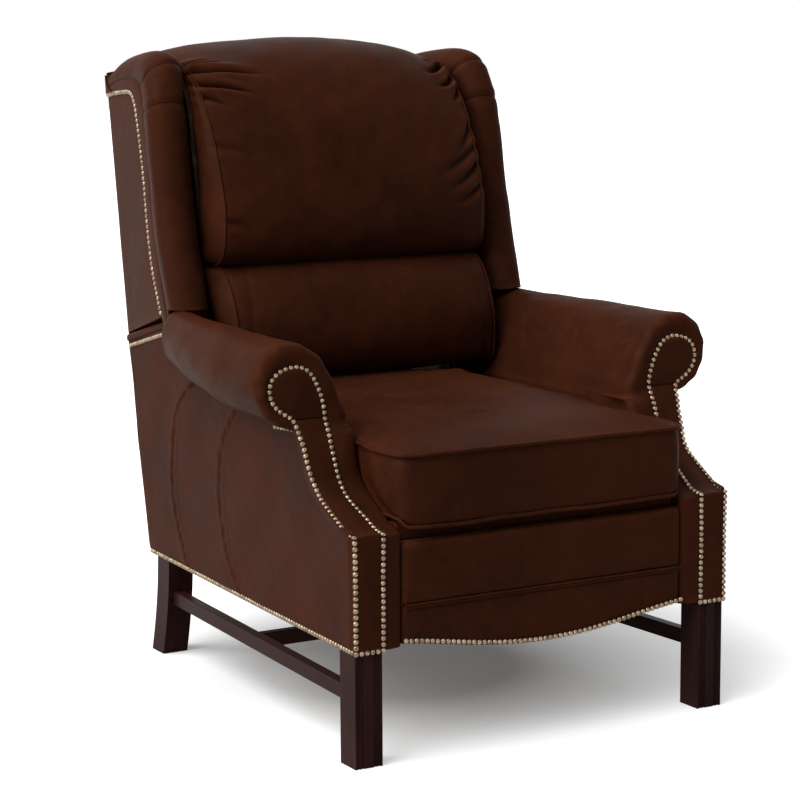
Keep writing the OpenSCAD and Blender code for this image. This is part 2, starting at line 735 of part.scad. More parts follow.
// The footrest: brackets, a board, its padding and the shaped apron
panel_gap = 1.5;
panel_half = seat_half - panel_gap;
panel_top = seat_z + over - footrest_gap;
board_y = post_y + pad_t - over;
board_back = board_y + board_t;
board_inset = 3;
welt_z = panel_top - pad_h;
panel_low = panel_top - panel_h;
flange_t = 3;
flange_w = 30;
flange_low_share = 0.12;
flange_high_share = 0.9;
flange_low = mix(panel_low, panel_top, flange_low_share);
flange_high = mix(panel_low, panel_top, flange_high_share);

module footrest_bracket(side) color(steel) mirrored(side) {
    plate_x(layer_x(4), link_t) difference() {
        union() {
            polygon([
                [board_back, flange_low], bracket_low + [0, -link_w / 2], bracket_low,
                bracket_top + [0, link_w / 2], [board_back, flange_high]
            ]);
            strip(bracket_top, bracket_low, link_w);
        }
        hole(bracket_top, pin_r);
        hole(bracket_low, pin_r);
    }
    translate([layer_x(4) - flange_w, board_back, flange_low])
        cube([flange_w + link_t, flange_t, flange_high - flange_low]);
}

module footrest_board() color(beech) translate([-panel_half + board_inset, board_y, panel_low + board_inset])
    cube([(panel_half - board_inset) * 2, board_t, panel_h - board_inset * 2]);

pad_profile_shares = [[1, 0], [1, 0.45], [0.996, 0.72], [0.985, 0.9], [0.96, 0.98], [0.9, 1]];
pad_power = 16;
pad_n = 56;
module footrest_pad() color(leather) translate([0, board_y, welt_z + pad_h / 2]) rotate([90, 0, 0])
    loft(cushion_rings(panel_half, pad_h / 2, [
        for (row = pad_profile_shares) [row[0], row[1] * pad_t]
    ], pad_n, pad_power));

apron_t = 12;
apron_shares = [[1, 0], [0.85, 0.17], [0.7, 0.37], [0.5, 0.65], [0.3, 0.87], [0.15, 0.965], [0, 1]];
apron_right = curve([for (p = apron_shares) [p[0] * panel_half, panel_low - p[1] * apron_dip]], 3);
apron_gap = 0.3;
module footrest_apron() color(leather) plate_y(board_y - apron_t, apron_t) polygon(concat(
    [[-panel_half, welt_z - apron_gap], [panel_half, welt_z - apron_gap]],
    apron_right, reversed([for (i = [0 : len(apron_right) - 2]) [-apron_right[i][0], apron_right[i][1]]])
));

// The back unit, which leans: its wooden frame stands on this place, with its front face there
rail_share = 0.6;
back_t = 12;
module on_back() translate([0, frame_foot[0], frame_foot[1]]) rotate([90 - lean, 0, 0]) children();
function back_in(z) = foot_y + (z - foot_z) * tan(lean) - back_t / cos(lean);
wing_board_t = 14;
wing_in = plate_in + link_t + wing_board_t;
wing_lift = 9;
wing_board_front = [
    for (p = [[752, 700], [768, 800], [788, 900], [812, 990], [824, 1040]]) in_back(p)
];
board_top = wing_board_front[len(wing_board_front) - 1][1];
rail_shares = [0, 0.32, 0.89];
rail_band = 48;

module back_frame() color(beech) {
    on_back() for (side = [left, right])
        translate([side * (frame_half - post_w / 2) - post_w / 2, 0, -post_d]) cube([post_w, post_len, post_d]);
    on_back() for (share = rail_shares)
        translate([-frame_half, share * post_len, -post_d * rail_share])
            cube([frame_half * 2, rail_band, post_d * rail_share - gap]);
    for (side = [left, right]) mirrored(side) {
        plate_x(plate_in + link_t, wing_board_t) polygon(concat(
            wing_board_front,
            [
                [back_in(board_top) - fit_gap, board_top],
                [back_in(foot_z + wing_lift) - fit_gap, foot_z + wing_lift],
                [wing_board_front[0][0], foot_at(wing_board_front[0][0]) + wing_lift]
            ]
        ));
        on_back() translate([frame_half - post_w, post_len - rail_band, -post_d * 2])
            cube([post_w + link_t + wing_board_t / 2, rail_band, post_d * 2 - gap]);
    }
}

web_t = 2;
web_w = 50;
web_rows = 4;
web_cols = 5;
web_pitch_share = 1.45;
module back_webbing() color(jute) on_back() {
    for (i = [0 : web_rows - 1])
        translate([-frame_half, rail_band + i * web_w * web_pitch_share + web_w, 0])
            cube([frame_half * 2, web_w, web_t]);
    for (i = [0 : web_cols - 1])
        translate([(i - (web_cols - 1) / 2) * web_w * web_pitch_share - web_w / 2, 0, web_t])
            cube([web_w, post_len, web_t]);
}

// The steel arm that carries the back unit on its pivot
bracket_w = 26;
bracket_knee = in_back([722, 605]);
bracket_end = in_back([748, 755]);
module back_bracket(side) color(steel) mirrored(side) {
    plate_x(plate_in, link_t) difference() {
        union() {
            strip(pivot, bracket_knee, bracket_w);
            strip(bracket_knee, bracket_end, bracket_w);
            strip(pivot, pivot - [stop_r, 0], bracket_w);
        }
        hole(pivot, pivot_r);
    }
    pin_x(pivot - [stop_r, 0], plate_in, seat_half - play, stop_pin_r);
}

arch_n = 16;
back_foot_half = out_x(foot_y);
module outside_back() color(leather) translate([0, foot_y, foot_z]) rotate([-lean, 0, 0])
    plate_y(-back_t, back_t) polygon([
        [-back_foot_half, 0], [back_foot_half, 0],
        for (i = [0 : arch_n])
            let (s = 1 - 2 * i / arch_n) [s * back_half_top, back_h + arch_rise * (1 - s * s)]
    ]);

// The padded crown over the back, as shares of its depth and height at any one place
crown_front = in_back([828, 1040])[0];
crown_h = 56;
crown_shares = [
    [0, 0], [-0.03, 0.3], [-0.015, 0.62], [0.05, 0.86], [0.16, 0.98], [0.30, 1], [0.48, 0.94],
    [0.68, 0.80], [0.86, 0.58], [1, 0.32], [1, 0]
];
crown_n = 12;
crown_half = wing_in - soft_gap;
module crown_pad() color(leather) loft([
    for (i = [0 : crown_n]) let (
            s = 2 * i / crown_n - 1,
            up = arch_rise * (1 - s * s),
            depth = back_in(board_top) - soft_gap - crown_front
        ) [
            for (p = crown_shares) let (h = p[1] * (crown_h + up))
                [s * crown_half, crown_front + p[0] * depth + h * tan(lean) * p[0], board_top + h]
        ]
]);

// A wing in side view, as rows of [depth, height] for its outline, its roll's middle and its nails
wing_drawn = [
    [wing_foot, [642, 664], [751, 654]], [[617, 700], [654, 700], [768, 700]],
    [[630, 736], [667, 736], [782, 736]], [[640, 772], [677, 772], [791, 772]],
    [[649, 809], [686, 809], [799, 809]], [[659, 855], [696, 855], [810, 855]],
    [[668, 902], [705, 902], [823, 902]], [[677, 953], [713, 949], [838, 948]],
    [[688, 1005], [722, 992], [848, 974]], [[697, 1035], [731, 1014], [857, 991]],
    [[712, 1064], [744, 1034], [869, 1004]], [[734, 1083], [760, 1050], [884, 1011]],
    [[762, 1091], [780, 1058], [900, 1013]], [[800, 1093], [812, 1062], [918, 1013]],
    [[850, 1091], [858, 1062], [940, 1013]], [[900, 1085], [905, 1058], [962, 1013]],
    [[950, 1076], [952, 1050], [984, 1013]], [[1000, 1060], [998, 1040], [1000, 1012]]
];
wing_rows = [for (row = wing_drawn) [for (p = row) in_back(p)]];
wing_round = [0, 25, 50, 75, 105, 130, 155, 180];
wing_panel_t = 5;
wing_bulges = [2, 5, 8, 9, 9, 9, 9, 9, 8, 7, 6, 4, 3, 2, 2, 1, 1, 0];
wing_rear_zs = [for (z = [1045, 1000, 880, 750, 620]) in_back([0, z])[1]];
wing_margin = 2;
wing_tilt = atan(
    (back_half_top - back_foot_half + back_h * sin(lean) * tan(wing_spread)) / (back_h * cos(lean)));
function wing_x(p) =
    back_foot_half + (foot_y - p[0]) * tan(wing_spread) + (p[1] - foot_z) * tan(wing_tilt);
function wing_skin(p, bulge) = wing_x(p) - wing_panel_t + bulge;
wing_rear = [
    for (z = wing_rear_zs) [[back_in(z) - soft_gap, z], [back_in(z) - soft_gap - wing_margin, z]],
    for (y = [
            back_in(foot_z) - wing_lift, mix(back_in(foot_z), wing_rows[0][2][0], half),
            wing_rows[0][2][0] + wing_margin * 2
        ])
        [[y, foot_at(y)], [y, foot_at(y) + wing_margin]]
];
function wing_ring(a) = [
    for (i = [0 : len(wing_rows) - 1]) let (
            row = wing_rows[i],
            p = mix(row[0], row[1], 1 - sin(a)),
            s = (1 - cos(a)) / 2
        ) [mix(wing_in, wing_skin(p, wing_bulges[i] + wing_panel_t), s), p[0], p[1]],
    for (q = wing_rear) [mix(wing_in, wing_skin(q[0], 0), (1 - cos(a)) / 2), q[0][0], q[0][1]]
];
module wing_pad(side) color(leather) mirrored(side) loft([
    for (a = wing_round) wing_ring(a),
    [
        for (row = wing_rows) [wing_skin(row[2], 0), row[2][0], row[2][1]],
        for (q = wing_rear) [wing_skin(q[1], 0), q[1][0], q[1][1]]
    ]
]);

// The outside of a wing, behind the nails, in its own slanted plane
wing_air = 0.4;
module wing_panel(side) color(leather) mirrored(side)
    translate([back_foot_half, foot_y, foot_z]) rotate([0, wing_tilt, 0]) rotate([0, 0, wing_spread])
        plate_x(-wing_panel_t + wing_air, wing_panel_t - wing_air) polygon([
            for (row = wing_rows) [(row[2][0] - foot_y) / cos(wing_spread), row[2][1] - foot_z],
            for (q = wing_rear) [(q[0][0] - foot_y) / cos(wing_spread), q[0][1] - foot_z]
        ]);

// The two loose cushions of the back, made as shares of their outline and heights over their backs
pillow_foot = 118 * back_scale;
pillow_len = 366 * back_scale;
lumbar_foot = -98;
pillow_rest = 4;
lumbar_len = pillow_foot - lumbar_foot - pillow_rest;
lumbar_gap = 5;
cushion_back = web_t * 2 + soft_gap;
pillow_profile_shares = [
    [0.82, 0], [0.93, 0.12], [0.98, 0.42], [1, 0.95], [0.99, 1.38], [0.955, 1.76], [0.88, 2.03],
    [0.75, 2.2], [0.55, 2.29], [0.28, 2.33]
];
lumbar_profile_shares = [
    [0.84, 0], [0.94, 0.13], [0.985, 0.38], [1, 0.72], [0.99, 1.05], [0.95, 1.35], [0.86, 1.58],
    [0.7, 1.74], [0.4, 1.84]
];
pillow_power = 6;
pillow_n = 64;
pillow_wedge_share = 0.27;
module head_pillow() color(leather) on_back()
    translate([0, pillow_foot + pillow_len / 2, cushion_back])
        loft(wedged(cushion_rings(pillow_half, pillow_len / 2, [
            for (row = pillow_profile_shares) [row[0], row[1] * pillow_t]
        ], pillow_n, pillow_power), pillow_len / 2, pillow_wedge_share));
module lumbar_cushion() color(leather) on_back()
    translate([0, lumbar_foot + lumbar_len / 2, cushion_back])
        loft(cushion_rings(seat_half - lumbar_gap, lumbar_len / 2, [
            for (row = lumbar_profile_shares) [row[0], row[1] * lumbar_t]
        ], pillow_n, pillow_power));

to_frame() front_leg(left);  // front_leg_left
to_frame() front_leg(right);  // front_leg_right
to_frame() rear_leg(left);  // rear_leg_left
to_frame() rear_leg(right);  // rear_leg_right
to_frame() side_stretcher(left);  // side_stretcher_left
to_frame() side_stretcher(right);  // side_stretcher_right
to_frame() cross_stretcher();
to_frame() side_frame(left);  // side_frame_left
to_frame() side_frame(right);  // side_frame_right
to_frame() runner_rail(left);  // runner_rail_left
to_frame() runner_rail(right);  // runner_rail_right
to_frame() front_rail();
to_frame() rear_rail();
to_frame() side_panel(left);  // side_panel_left
to_frame() side_panel(right);  // side_panel_right
to_frame() inside_arm(left);  // inside_arm_left
to_frame() inside_arm(right);  // inside_arm_right
to_frame() arm_roll(left);  // arm_roll_left
to_frame() arm_roll(right);  // arm_roll_right
to_frame() arm_front(left);  // arm_front_left
to_frame() arm_front(right);  // arm_front_right
to_frame() rear_band(left);  // rear_band_left
to_frame() rear_band(right);  // rear_band_right
to_frame() lower_back_panel();
to_frame() base_plate(left);  // base_plate_left
to_frame() base_plate(right);  // base_plate_right
to_frame() mechanism_bolts();
to_frame() seat_frame();
to_frame() seat_springs();
to_frame() seat_deck();
to_frame() seat_cushion();
to_frame() seat_plate(left);  // seat_plate_left
to_frame() seat_plate(right);  // seat_plate_right
to_frame() seat_rollers();
to_frame() long_link(left);  // long_link_left
to_frame() long_link(right);  // long_link_right
to_frame() torque_tube();
to_frame() bell_crank(left);  // bell_crank_left
to_frame() bell_crank(right);  // bell_crank_right
to_frame() cross_link(left);  // cross_link_left
to_frame() cross_link(right);  // cross_link_right
to_frame() outer_link(left);  // outer_link_left
to_frame() outer_link(right);  // outer_link_right
to_frame() footrest_bracket(left);  // footrest_bracket_left
to_frame() footrest_bracket(right);  // footrest_bracket_right
to_frame() footrest_board();
to_frame() footrest_pad();
to_frame() footrest_apron();
to_frame() back_bracket(left);  // back_bracket_left
to_frame() back_bracket(right);  // back_bracket_right
to_frame() back_frame();
to_frame() back_webbing();
to_frame() outside_back();
to_frame() crown_pad();
to_frame() wing_panel(left);  // wing_panel_left
to_frame() wing_panel(right);  // wing_panel_right
to_frame() wing_pad(left);  // wing_pad_left
to_frame() wing_pad(right);  // wing_pad_right
to_frame() head_pillow();
to_frame() lumbar_cushion();
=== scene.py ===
"""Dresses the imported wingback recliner: leather, cushions, nails, welts, finishes, light and camera.

Tables of places are in millimetres, for the right side, with depths from the front of the front legs.
Meshes are made from them in metres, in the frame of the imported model.
"""

import json
import logging
from collections.abc import Callable
from dataclasses import dataclass
from enum import Enum
from math import cos, pi, radians, sin, tan

import bpy
import numpy as np
from mathutils import Matrix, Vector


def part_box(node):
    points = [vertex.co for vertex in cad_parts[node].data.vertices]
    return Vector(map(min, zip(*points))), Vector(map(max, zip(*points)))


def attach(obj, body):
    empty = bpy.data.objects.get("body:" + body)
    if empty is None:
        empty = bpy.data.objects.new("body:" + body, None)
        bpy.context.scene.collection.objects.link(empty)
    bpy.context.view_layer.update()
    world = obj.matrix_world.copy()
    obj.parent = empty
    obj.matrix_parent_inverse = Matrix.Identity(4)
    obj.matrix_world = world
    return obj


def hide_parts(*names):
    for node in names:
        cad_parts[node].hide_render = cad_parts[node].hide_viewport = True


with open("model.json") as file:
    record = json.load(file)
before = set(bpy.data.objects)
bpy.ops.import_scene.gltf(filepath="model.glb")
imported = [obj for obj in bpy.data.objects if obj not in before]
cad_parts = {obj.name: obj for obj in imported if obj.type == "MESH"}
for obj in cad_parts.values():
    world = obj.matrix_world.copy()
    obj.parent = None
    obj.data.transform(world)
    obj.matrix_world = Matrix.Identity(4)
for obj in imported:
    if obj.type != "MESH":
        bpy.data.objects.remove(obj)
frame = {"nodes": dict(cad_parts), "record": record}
log = logging.getLogger("recliner")
Array = np.ndarray
Points = list | tuple | np.ndarray
Piece = bpy.types.Object
ORIGIN = np.array([0, float(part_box("front_leg_left")[0][1]), 0])  # where depth 0 lies, in metres
HEM = 184.0  # height of the lowest nails on the leather
NAIL_PITCH = 9.6
NAIL_RADIUS = 4.4


class Side(Enum):
    """A side of the chair, as seen from in front of it."""

    LEFT = -1
    RIGHT = 1

    @property
    def word(self) -> str:
        """The side's name as the nodes' names end."""
        return self.name.lower()


# ---- numbers and surfaces


def metres(points: Array) -> Array:
    """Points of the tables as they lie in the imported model."""
    return points / 1000 + ORIGIN


def spline(points: Points, count: int) -> Array:
    """A smooth open curve (Catmull-Rom) through points.

    Args:
        points: The points, in order.
        count: How many points to return, evenly spread over the parameter.

    Returns:
        An array of count points.
    """
    p = np.asarray(points, float)
    last = len(p) - 1
    t = np.linspace(0, last, count)
    i = np.minimum(t.astype(int), last - 1)
    f = (t - i).reshape((-1,) + (1,) * (p.ndim - 1))
    a, b, c, d = p[np.maximum(i - 1, 0)], p[i], p[i + 1], p[np.minimum(i + 2, last)]
    return (2 * b + (c - a) * f + (2 * a - 5 * b + 4 * c - d) * f**2 + (3 * b - a - 3 * c + d) * f**3) / 2


def even(path: Array, count: int = 0, step: float = 0.0) -> Array:
    """Resamples an open path at equal arc lengths.

    Args:
        path: The points of the path.
        count: How many points to return.
        step: The wished spacing, used where count is 0.

    Returns:
        The evenly spaced points.
    """
    run = np.concatenate([[0], np.cumsum(np.linalg.norm(np.diff(path, axis=0), axis=1))])
    count = count or int(round(run[-1] / step)) + 1
    at = np.linspace(0, run[-1], count)
    return np.stack([np.interp(at, run, path[:, k]) for k in range(path.shape[1])], axis=1)


def ease(t: Array) -> Array:
    """A smooth step from 0 to 1 over t from 0 to 1."""
    t = np.clip(t, 0, 1)
    return t * t * (3 - 2 * t)


def bell(d: Array, width: float) -> Array:
    """A bell curve of height 1: exp of minus the square of d over width."""
    return np.exp(-((d / width) ** 2))


def ripple(points: Array, length: float, seed: int, waves: int = 9) -> Array:
    """Smooth unevenness: a sum of sines along seeded random directions.

    Args:
        points: Points in millimetres.
        length: The typical wave length in millimetres.
        seed: Seed of the directions, so each run gives the same.
        waves: Number of sines.

    Returns:
        Values of about -1 to 1, one for each point.
    """
    rng = np.random.default_rng(seed)
    way = rng.normal(size=(waves, 3))
    way *= (2 * pi / length * rng.uniform(0.6, 1.6, waves) / np.linalg.norm(way, axis=1))[:, None]
    return np.sin(points @ way.T + rng.uniform(0, 2 * pi, waves)).sum(axis=-1) / waves**0.5 / 1.4


def grid_normals(grid: Array) -> Array:
    """Unit normals of a grid of points: the cross product of its two central differences."""
    n = np.cross(np.gradient(grid, axis=0), np.gradient(grid, axis=1))
    return n / np.maximum(np.linalg.norm(n, axis=-1, keepdims=True), 1e-9)


def superellipse(count: int, power: float) -> Array:
    """A rounded rectangle from -1 to 1: signed powers 2/power of the cosine and the sine.

    Args:
        count: How many points to return.
        power: 2 gives a circle, more gives squarer corners.

    Returns:
        The points of the closed outline.
    """
    a = np.linspace(0, 2 * pi, count, endpoint=False) + pi / count
    c, s = np.cos(a), np.sin(a)
    return np.stack([np.sign(c) * np.abs(c) ** (2 / power), np.sign(s) * np.abs(s) ** (2 / power)], 1)


def tube_rings(path: Array, radius: float, across: Points, sides: int = 8, closed: bool = False) -> Array:
    """Rings of a round tube along a path: the centre plus radius times a turning unit vector.

    Args:
        path: The centre line.
        radius: The tube's radius, in the path's unit.
        across: A direction that the path never follows.
        sides: Points in each ring.
        closed: Whether the path returns to its start.

    Returns:
        An array of rings of points.
    """
    run = np.concatenate([path[-1:], path, path[:1]]) if closed else path
    way = np.gradient(run, axis=0)
    way = way[1:-1] if closed else way
    way /= np.linalg.norm(way, axis=1, keepdims=True)
    one = np.cross(way, np.asarray(across, float))
    one /= np.linalg.norm(one, axis=1, keepdims=True)
    two = np.cross(way, one)
    a = np.linspace(0, 2 * pi, sides, endpoint=False)[None, :, None]
    return path[:, None] + radius * (np.cos(a) * one[:, None] + np.sin(a) * two[:, None])


# ---- meshes


def solid(name: str, points: Array, faces: Array, sharp: float = 50.0) -> Piece:
    """Makes a closed mesh object from points in millimetres, with its faces outwards.

    Args:
        name: The piece's name.
        points: Points, with depths from the front of the front legs.
        faces: Rows of four indices; a triangle repeats its last index.
        sharp: Angle in degrees over which an edge stays sharp.

    Returns:
        The new object, at the origin.
    """
    co = metres(points.reshape(-1, 3))
    mid = co - co.mean(axis=0)
    a, b, c, d = (mid[faces[:, k]] for k in range(4))
    volume = (np.cross(a, b) * c).sum() + (np.cross(a, c) * d).sum()
    if volume < 0:
        faces = faces[:, ::-1]
        faces = np.where((faces[:, :1] == faces[:, 1:2]), np.roll(faces, -1, axis=1), faces)
    three = faces[:, 2] == faces[:, 3]
    mesh = bpy.data.meshes.new(name)
    mesh.from_pydata(co.tolist(), [], faces[~three].tolist() + faces[three][:, :3].tolist())
    mesh.polygons.foreach_set("use_smooth", np.ones(len(mesh.polygons), bool))
    mesh.update()
    mesh.set_sharp_from_angle(angle=radians(sharp))
    piece = bpy.data.objects.new(name, mesh)
    bpy.context.scene.collection.objects.link(piece)
    return piece


def ring_faces(rings: int, count: int, closed: bool = False) -> Array:
    """Quads between neighbouring rings of points.

    Args:
        rings: How many rings there are.
        count: Points in each ring.
        closed: Whether the last ring is joined to the first.

    Returns:
        Rows of four indices.
    """
    i = np.arange(rings if closed else rings - 1)[:, None]
    j = np.arange(count)[None, :]
    k = (i + 1) % rings
    after = (j + 1) % count
    return np.stack([i * count + j, i * count + after, k * count + after, k * count + j], -1).reshape(-1, 4)


def fan(first: int, count: int, tip: int, turned: bool = False) -> Array:
    """Triangles from a ring to a tip.

    Args:
        first: Index of the ring's first point.
        count: Points in the ring.
        tip: Index of the tip.
        turned: Whether they look the other way.

    Returns:
        Rows of four indices, in which the tip is repeated.
    """
    j = np.arange(count)
    a, b = first + j, first + (j + 1) % count
    a, b = (b, a) if turned else (a, b)
    return np.stack([a, b, j * 0 + tip, j * 0 + tip], 1)


def grid_quads(rows: int, columns: int) -> Array:
    """Quads over a grid of points, as rows of four indices."""
    index = np.arange(rows * columns).reshape(rows, columns)
    return np.stack([index[:-1, :-1], index[1:, :-1], index[1:, 1:], index[:-1, 1:]], -1).reshape(-1, 4)


def ringed(name: str, rings: Array, closed: bool = False) -> Piece:
    """A closed skin over rings of points, with a fan over each end where it isn't closed.

    Args:
        name: The piece's name.
        rings: The rings, in millimetres.
        closed: Whether the last ring is joined to the first.

    Returns:
        The new piece.
    """
    m, n = rings.shape[:2]
    faces = ring_faces(m, n, closed)
    points = rings.reshape(-1, 3)
    if not closed:
        faces = np.concatenate([faces, fan(0, n, m * n, True), fan((m - 1) * n, n, m * n + 1)])
        points = np.concatenate([points, rings[0].mean(0)[None], rings[-1].mean(0)[None]])
    return solid(name, points, faces)


def slab(name: str, top: Array, under: Array, sharp: float = 60.0) -> Piece:
    """A closed plate between two grids of equal size, walled along their borders.

    Args:
        name: The piece's name.
        top: The grid of one face, in millimetres.
        under: The grid of the other face.
        sharp: Angle in degrees over which an edge stays sharp.

    Returns:
        The new piece.
    """
    m, n = top.shape[:2]
    index = np.arange(m * n).reshape(m, n)
    quad = grid_quads(m, n)
    edge = np.concatenate([index[:-1, 0], index[-1, :-1], index[:0:-1, -1], index[0, :0:-1]])
    after = np.roll(edge, -1)
    wall = np.stack([after, edge, edge + m * n, after + m * n], 1)
    faces = np.concatenate([quad, quad[:, ::-1] + m * n, wall])
    return solid(name, np.concatenate([top.reshape(-1, 3), under.reshape(-1, 3)]), faces, sharp)


def join(name: str, parts: list[Piece]) -> Piece:
    """Joins pieces into one object.

    Args:
        name: The name of the whole.
        parts: The pieces.

    Returns:
        The first piece, which now holds them all.
    """
    with bpy.context.temp_override(
        active_object=parts[0], selected_objects=parts, selected_editable_objects=parts
    ):
        bpy.ops.object.join()
    parts[0].name = name
    return parts[0]


def nail_heads(name: str, places: Array, outward: Array) -> Piece:
    """Domed nail heads: each is a shallow cap of rings whose radius is the sine and height the cosine.

    Args:
        name: The piece's name.
        places: The nails' centres on the leather.
        outward: The unit direction in which each one points.

    Returns:
        One object with all the heads of the row.
    """
    sides, height, sunk, sway = 10, 0.62, -0.25, 0.03
    a = np.linspace(0, 2 * pi, sides, endpoint=False)
    bow = np.radians([90, 84, 58, 30])
    m, n = len(bow), sides
    ring = np.stack([
        np.stack([np.sin(b) * np.cos(a), np.sin(b) * np.sin(a), 0 * a + np.cos(b) * height], 1) for b in bow
    ])
    ring[0, :, 2] = sunk
    local = np.concatenate([ring.reshape(-1, 3), [[0, 0, height], [0, 0, sunk]]]) * NAIL_RADIUS
    faces = np.concatenate([ring_faces(m, n), fan((m - 1) * n, n, m * n), fan(0, n, m * n + 1, True)])
    rng = np.random.default_rng(len(places))
    up = outward + rng.normal(size=outward.shape) * sway
    up /= np.linalg.norm(up, axis=1, keepdims=True)
    helper = np.where(np.abs(up[:, :1]) > 0.8, [[0.0, 0.0, 1.0]], [[1.0, 0.0, 0.0]])
    one = np.cross(helper, up)
    one /= np.linalg.norm(one, axis=1, keepdims=True)
    two = np.cross(up, one)
    turned = local[None, :, :1] * one[:, None] + local[None, :, 1:2] * two[:, None] + local[None, :, 2:] * up[:, None]
    every = (faces[None] + np.arange(len(places))[:, None, None] * len(local)).reshape(-1, 4)
    return solid(name, (places[:, None] + turned).reshape(-1, 3), every, 80)


def read(mesh: bpy.types.Mesh, what: str) -> Array:
    """The places (co) or the normals (normal) of a mesh's points."""
    flat = np.empty(len(mesh.vertices) * 3)
    mesh.vertices.foreach_get(what, flat)
    return flat.reshape(-1, 3)


def mark_shade(piece: Piece, gain: float = 0.012, passes: int = 3) -> None:
    """Writes the attribute shade: 0.5 on flat leather, less in hollows, more on crests; the leather's colour is
    darkened by it in hollows as painted shade.

    Each edge gives its ends the height of the other end over the end's tangent plane, over the squared length.

    Args:
        piece: The object whose mesh gets the attribute.
        gain: How much of the attribute one unit of curvature is worth.
        passes: How often it is averaged with the neighbours.
    """
    mesh = piece.data
    co, no = read(mesh, "co"), read(mesh, "normal")
    ends = np.empty(len(mesh.edges) * 2, int)
    mesh.edges.foreach_get("vertices", ends)
    a, b = ends.reshape(-1, 2).T
    way = co[b] - co[a]
    size = np.maximum((way**2).sum(1), 1e-9)
    bend, near = np.zeros(len(co)), np.zeros(len(co))
    for here, sign in ((a, 1), (b, -1)):
        np.add.at(bend, here, sign * (way * no[here]).sum(1) / size)
        np.add.at(near, here, 1)
    near = np.maximum(near, 1)
    bend /= near
    for _ in range(passes):
        total = bend.copy()
        np.add.at(total, a, bend[b])
        np.add.at(total, b, bend[a])
        bend = total / (near + 1)
    shade = np.clip(0.5 - bend * gain, 0, 1)
    mesh.attributes.new("shade", "FLOAT", "POINT").data.foreach_set("value", shade.astype(np.float32))


def apply_modifiers(piece: Piece) -> None:
    """Gives a piece the mesh that its modifiers make, and removes them."""
    piece.data = bpy.data.meshes.new_from_object(piece.evaluated_get(bpy.context.evaluated_depsgraph_get()))
    piece.modifiers.clear()


@dataclass(frozen=True)
class Puff:
    """How a cushion is puffed up: a voxel remesh, then cloth under pressure, whose movement is capped.

    Lengths are in metres: cap is the furthest that a point may move, and hold the distance from a seam within
    which the mesh stays in place. The rest are settings of the cloth.
    """

    cap: float
    hold: float
    voxel: float = 0.0065
    frames: int = 20
    quality: int = 5
    mass: float = 0.4
    stretch: float = 25.0
    bending: float = 0.6
    pressure: float = 4.0

    def fill(self, piece: Piece, seams: Array) -> None:
        """Args:
            piece: The object, whose mesh is replaced by the puffed one.
            seams: Points of the seams in metres.
        """
        mod = piece.modifiers.new("remesh", "REMESH")
        mod.mode, mod.voxel_size = "VOXEL", self.voxel
        apply_modifiers(piece)
        start = read(piece.data, "co")
        move = self.swell(piece, start, seams)
        size = np.maximum(np.linalg.norm(move, axis=1, keepdims=True), 1e-9)
        start = start + move * (self.cap * np.tanh(size / self.cap) / size)
        log.info("%s wished to move by %.1f mm at most", piece.name, float(size.max()) * 1000)
        piece.data.vertices.foreach_set("co", start.ravel())
        piece.data.polygons.foreach_set("use_smooth", np.ones(len(piece.data.polygons), bool))
        piece.data.update()

    def swell(self, piece: Piece, start: Array, seams: Array) -> Array:
        """Runs the cloth.

        Args:
            piece: The remeshed object.
            start: Its points in metres.
            seams: Points of the seams in metres.

        Returns:
            How far each point has moved at the end, in metres.
        """
        near = np.full(len(start), 9.0)
        for part in np.array_split(seams, max(1, len(seams) // 40)):
            near = np.minimum(near, np.linalg.norm(start[:, None] - part[None], axis=2).min(axis=1))
        group = piece.vertex_groups.new(name="seam")
        group.add(np.nonzero(near < self.hold)[0].tolist(), 1.0, "REPLACE")
        cloth = piece.modifiers.new("cloth", "CLOTH")
        cloth.settings.quality = self.quality
        cloth.settings.mass = self.mass
        cloth.settings.tension_stiffness = cloth.settings.compression_stiffness = self.stretch
        cloth.settings.bending_stiffness = self.bending
        cloth.settings.use_pressure = True
        cloth.settings.uniform_pressure_force = self.pressure
        cloth.settings.vertex_group_mass = "seam"
        cloth.settings.effector_weights.gravity = 0
        cloth.collision_settings.use_collision = False
        scene = bpy.context.scene
        scene.frame_start, scene.frame_end = 1, self.frames
        for step in range(1, self.frames + 1):
            scene.frame_set(step)
        done = piece.evaluated_get(bpy.context.evaluated_depsgraph_get())
        move = read(done.data, "co") - start
        piece.modifiers.clear()
        piece.vertex_groups.clear()
        scene.frame_set(1)
        return move


def reshape(piece: Piece, change: Callable[[Array, Array], Array]) -> None:
    """Moves the points of a piece.

    Args:
        piece: The piece.
        change: Gives the new places from the places in chair millimetres and the normals.
    """
    mesh = piece.data
    place = change((read(mesh, "co") - ORIGIN) * 1000, read(mesh, "normal"))
    mesh.vertices.foreach_set("co", metres(place).ravel())
    mesh.update()


def subdivide(piece: Piece) -> None:
    """Rounds a piece by one level of Subdivision Surface, applied, so that creases can be worked into it."""
    mod = piece.modifiers.new("round", "SUBSURF")
    mod.levels = mod.render_levels = 1
    apply_modifiers(piece)


# ---- finishes


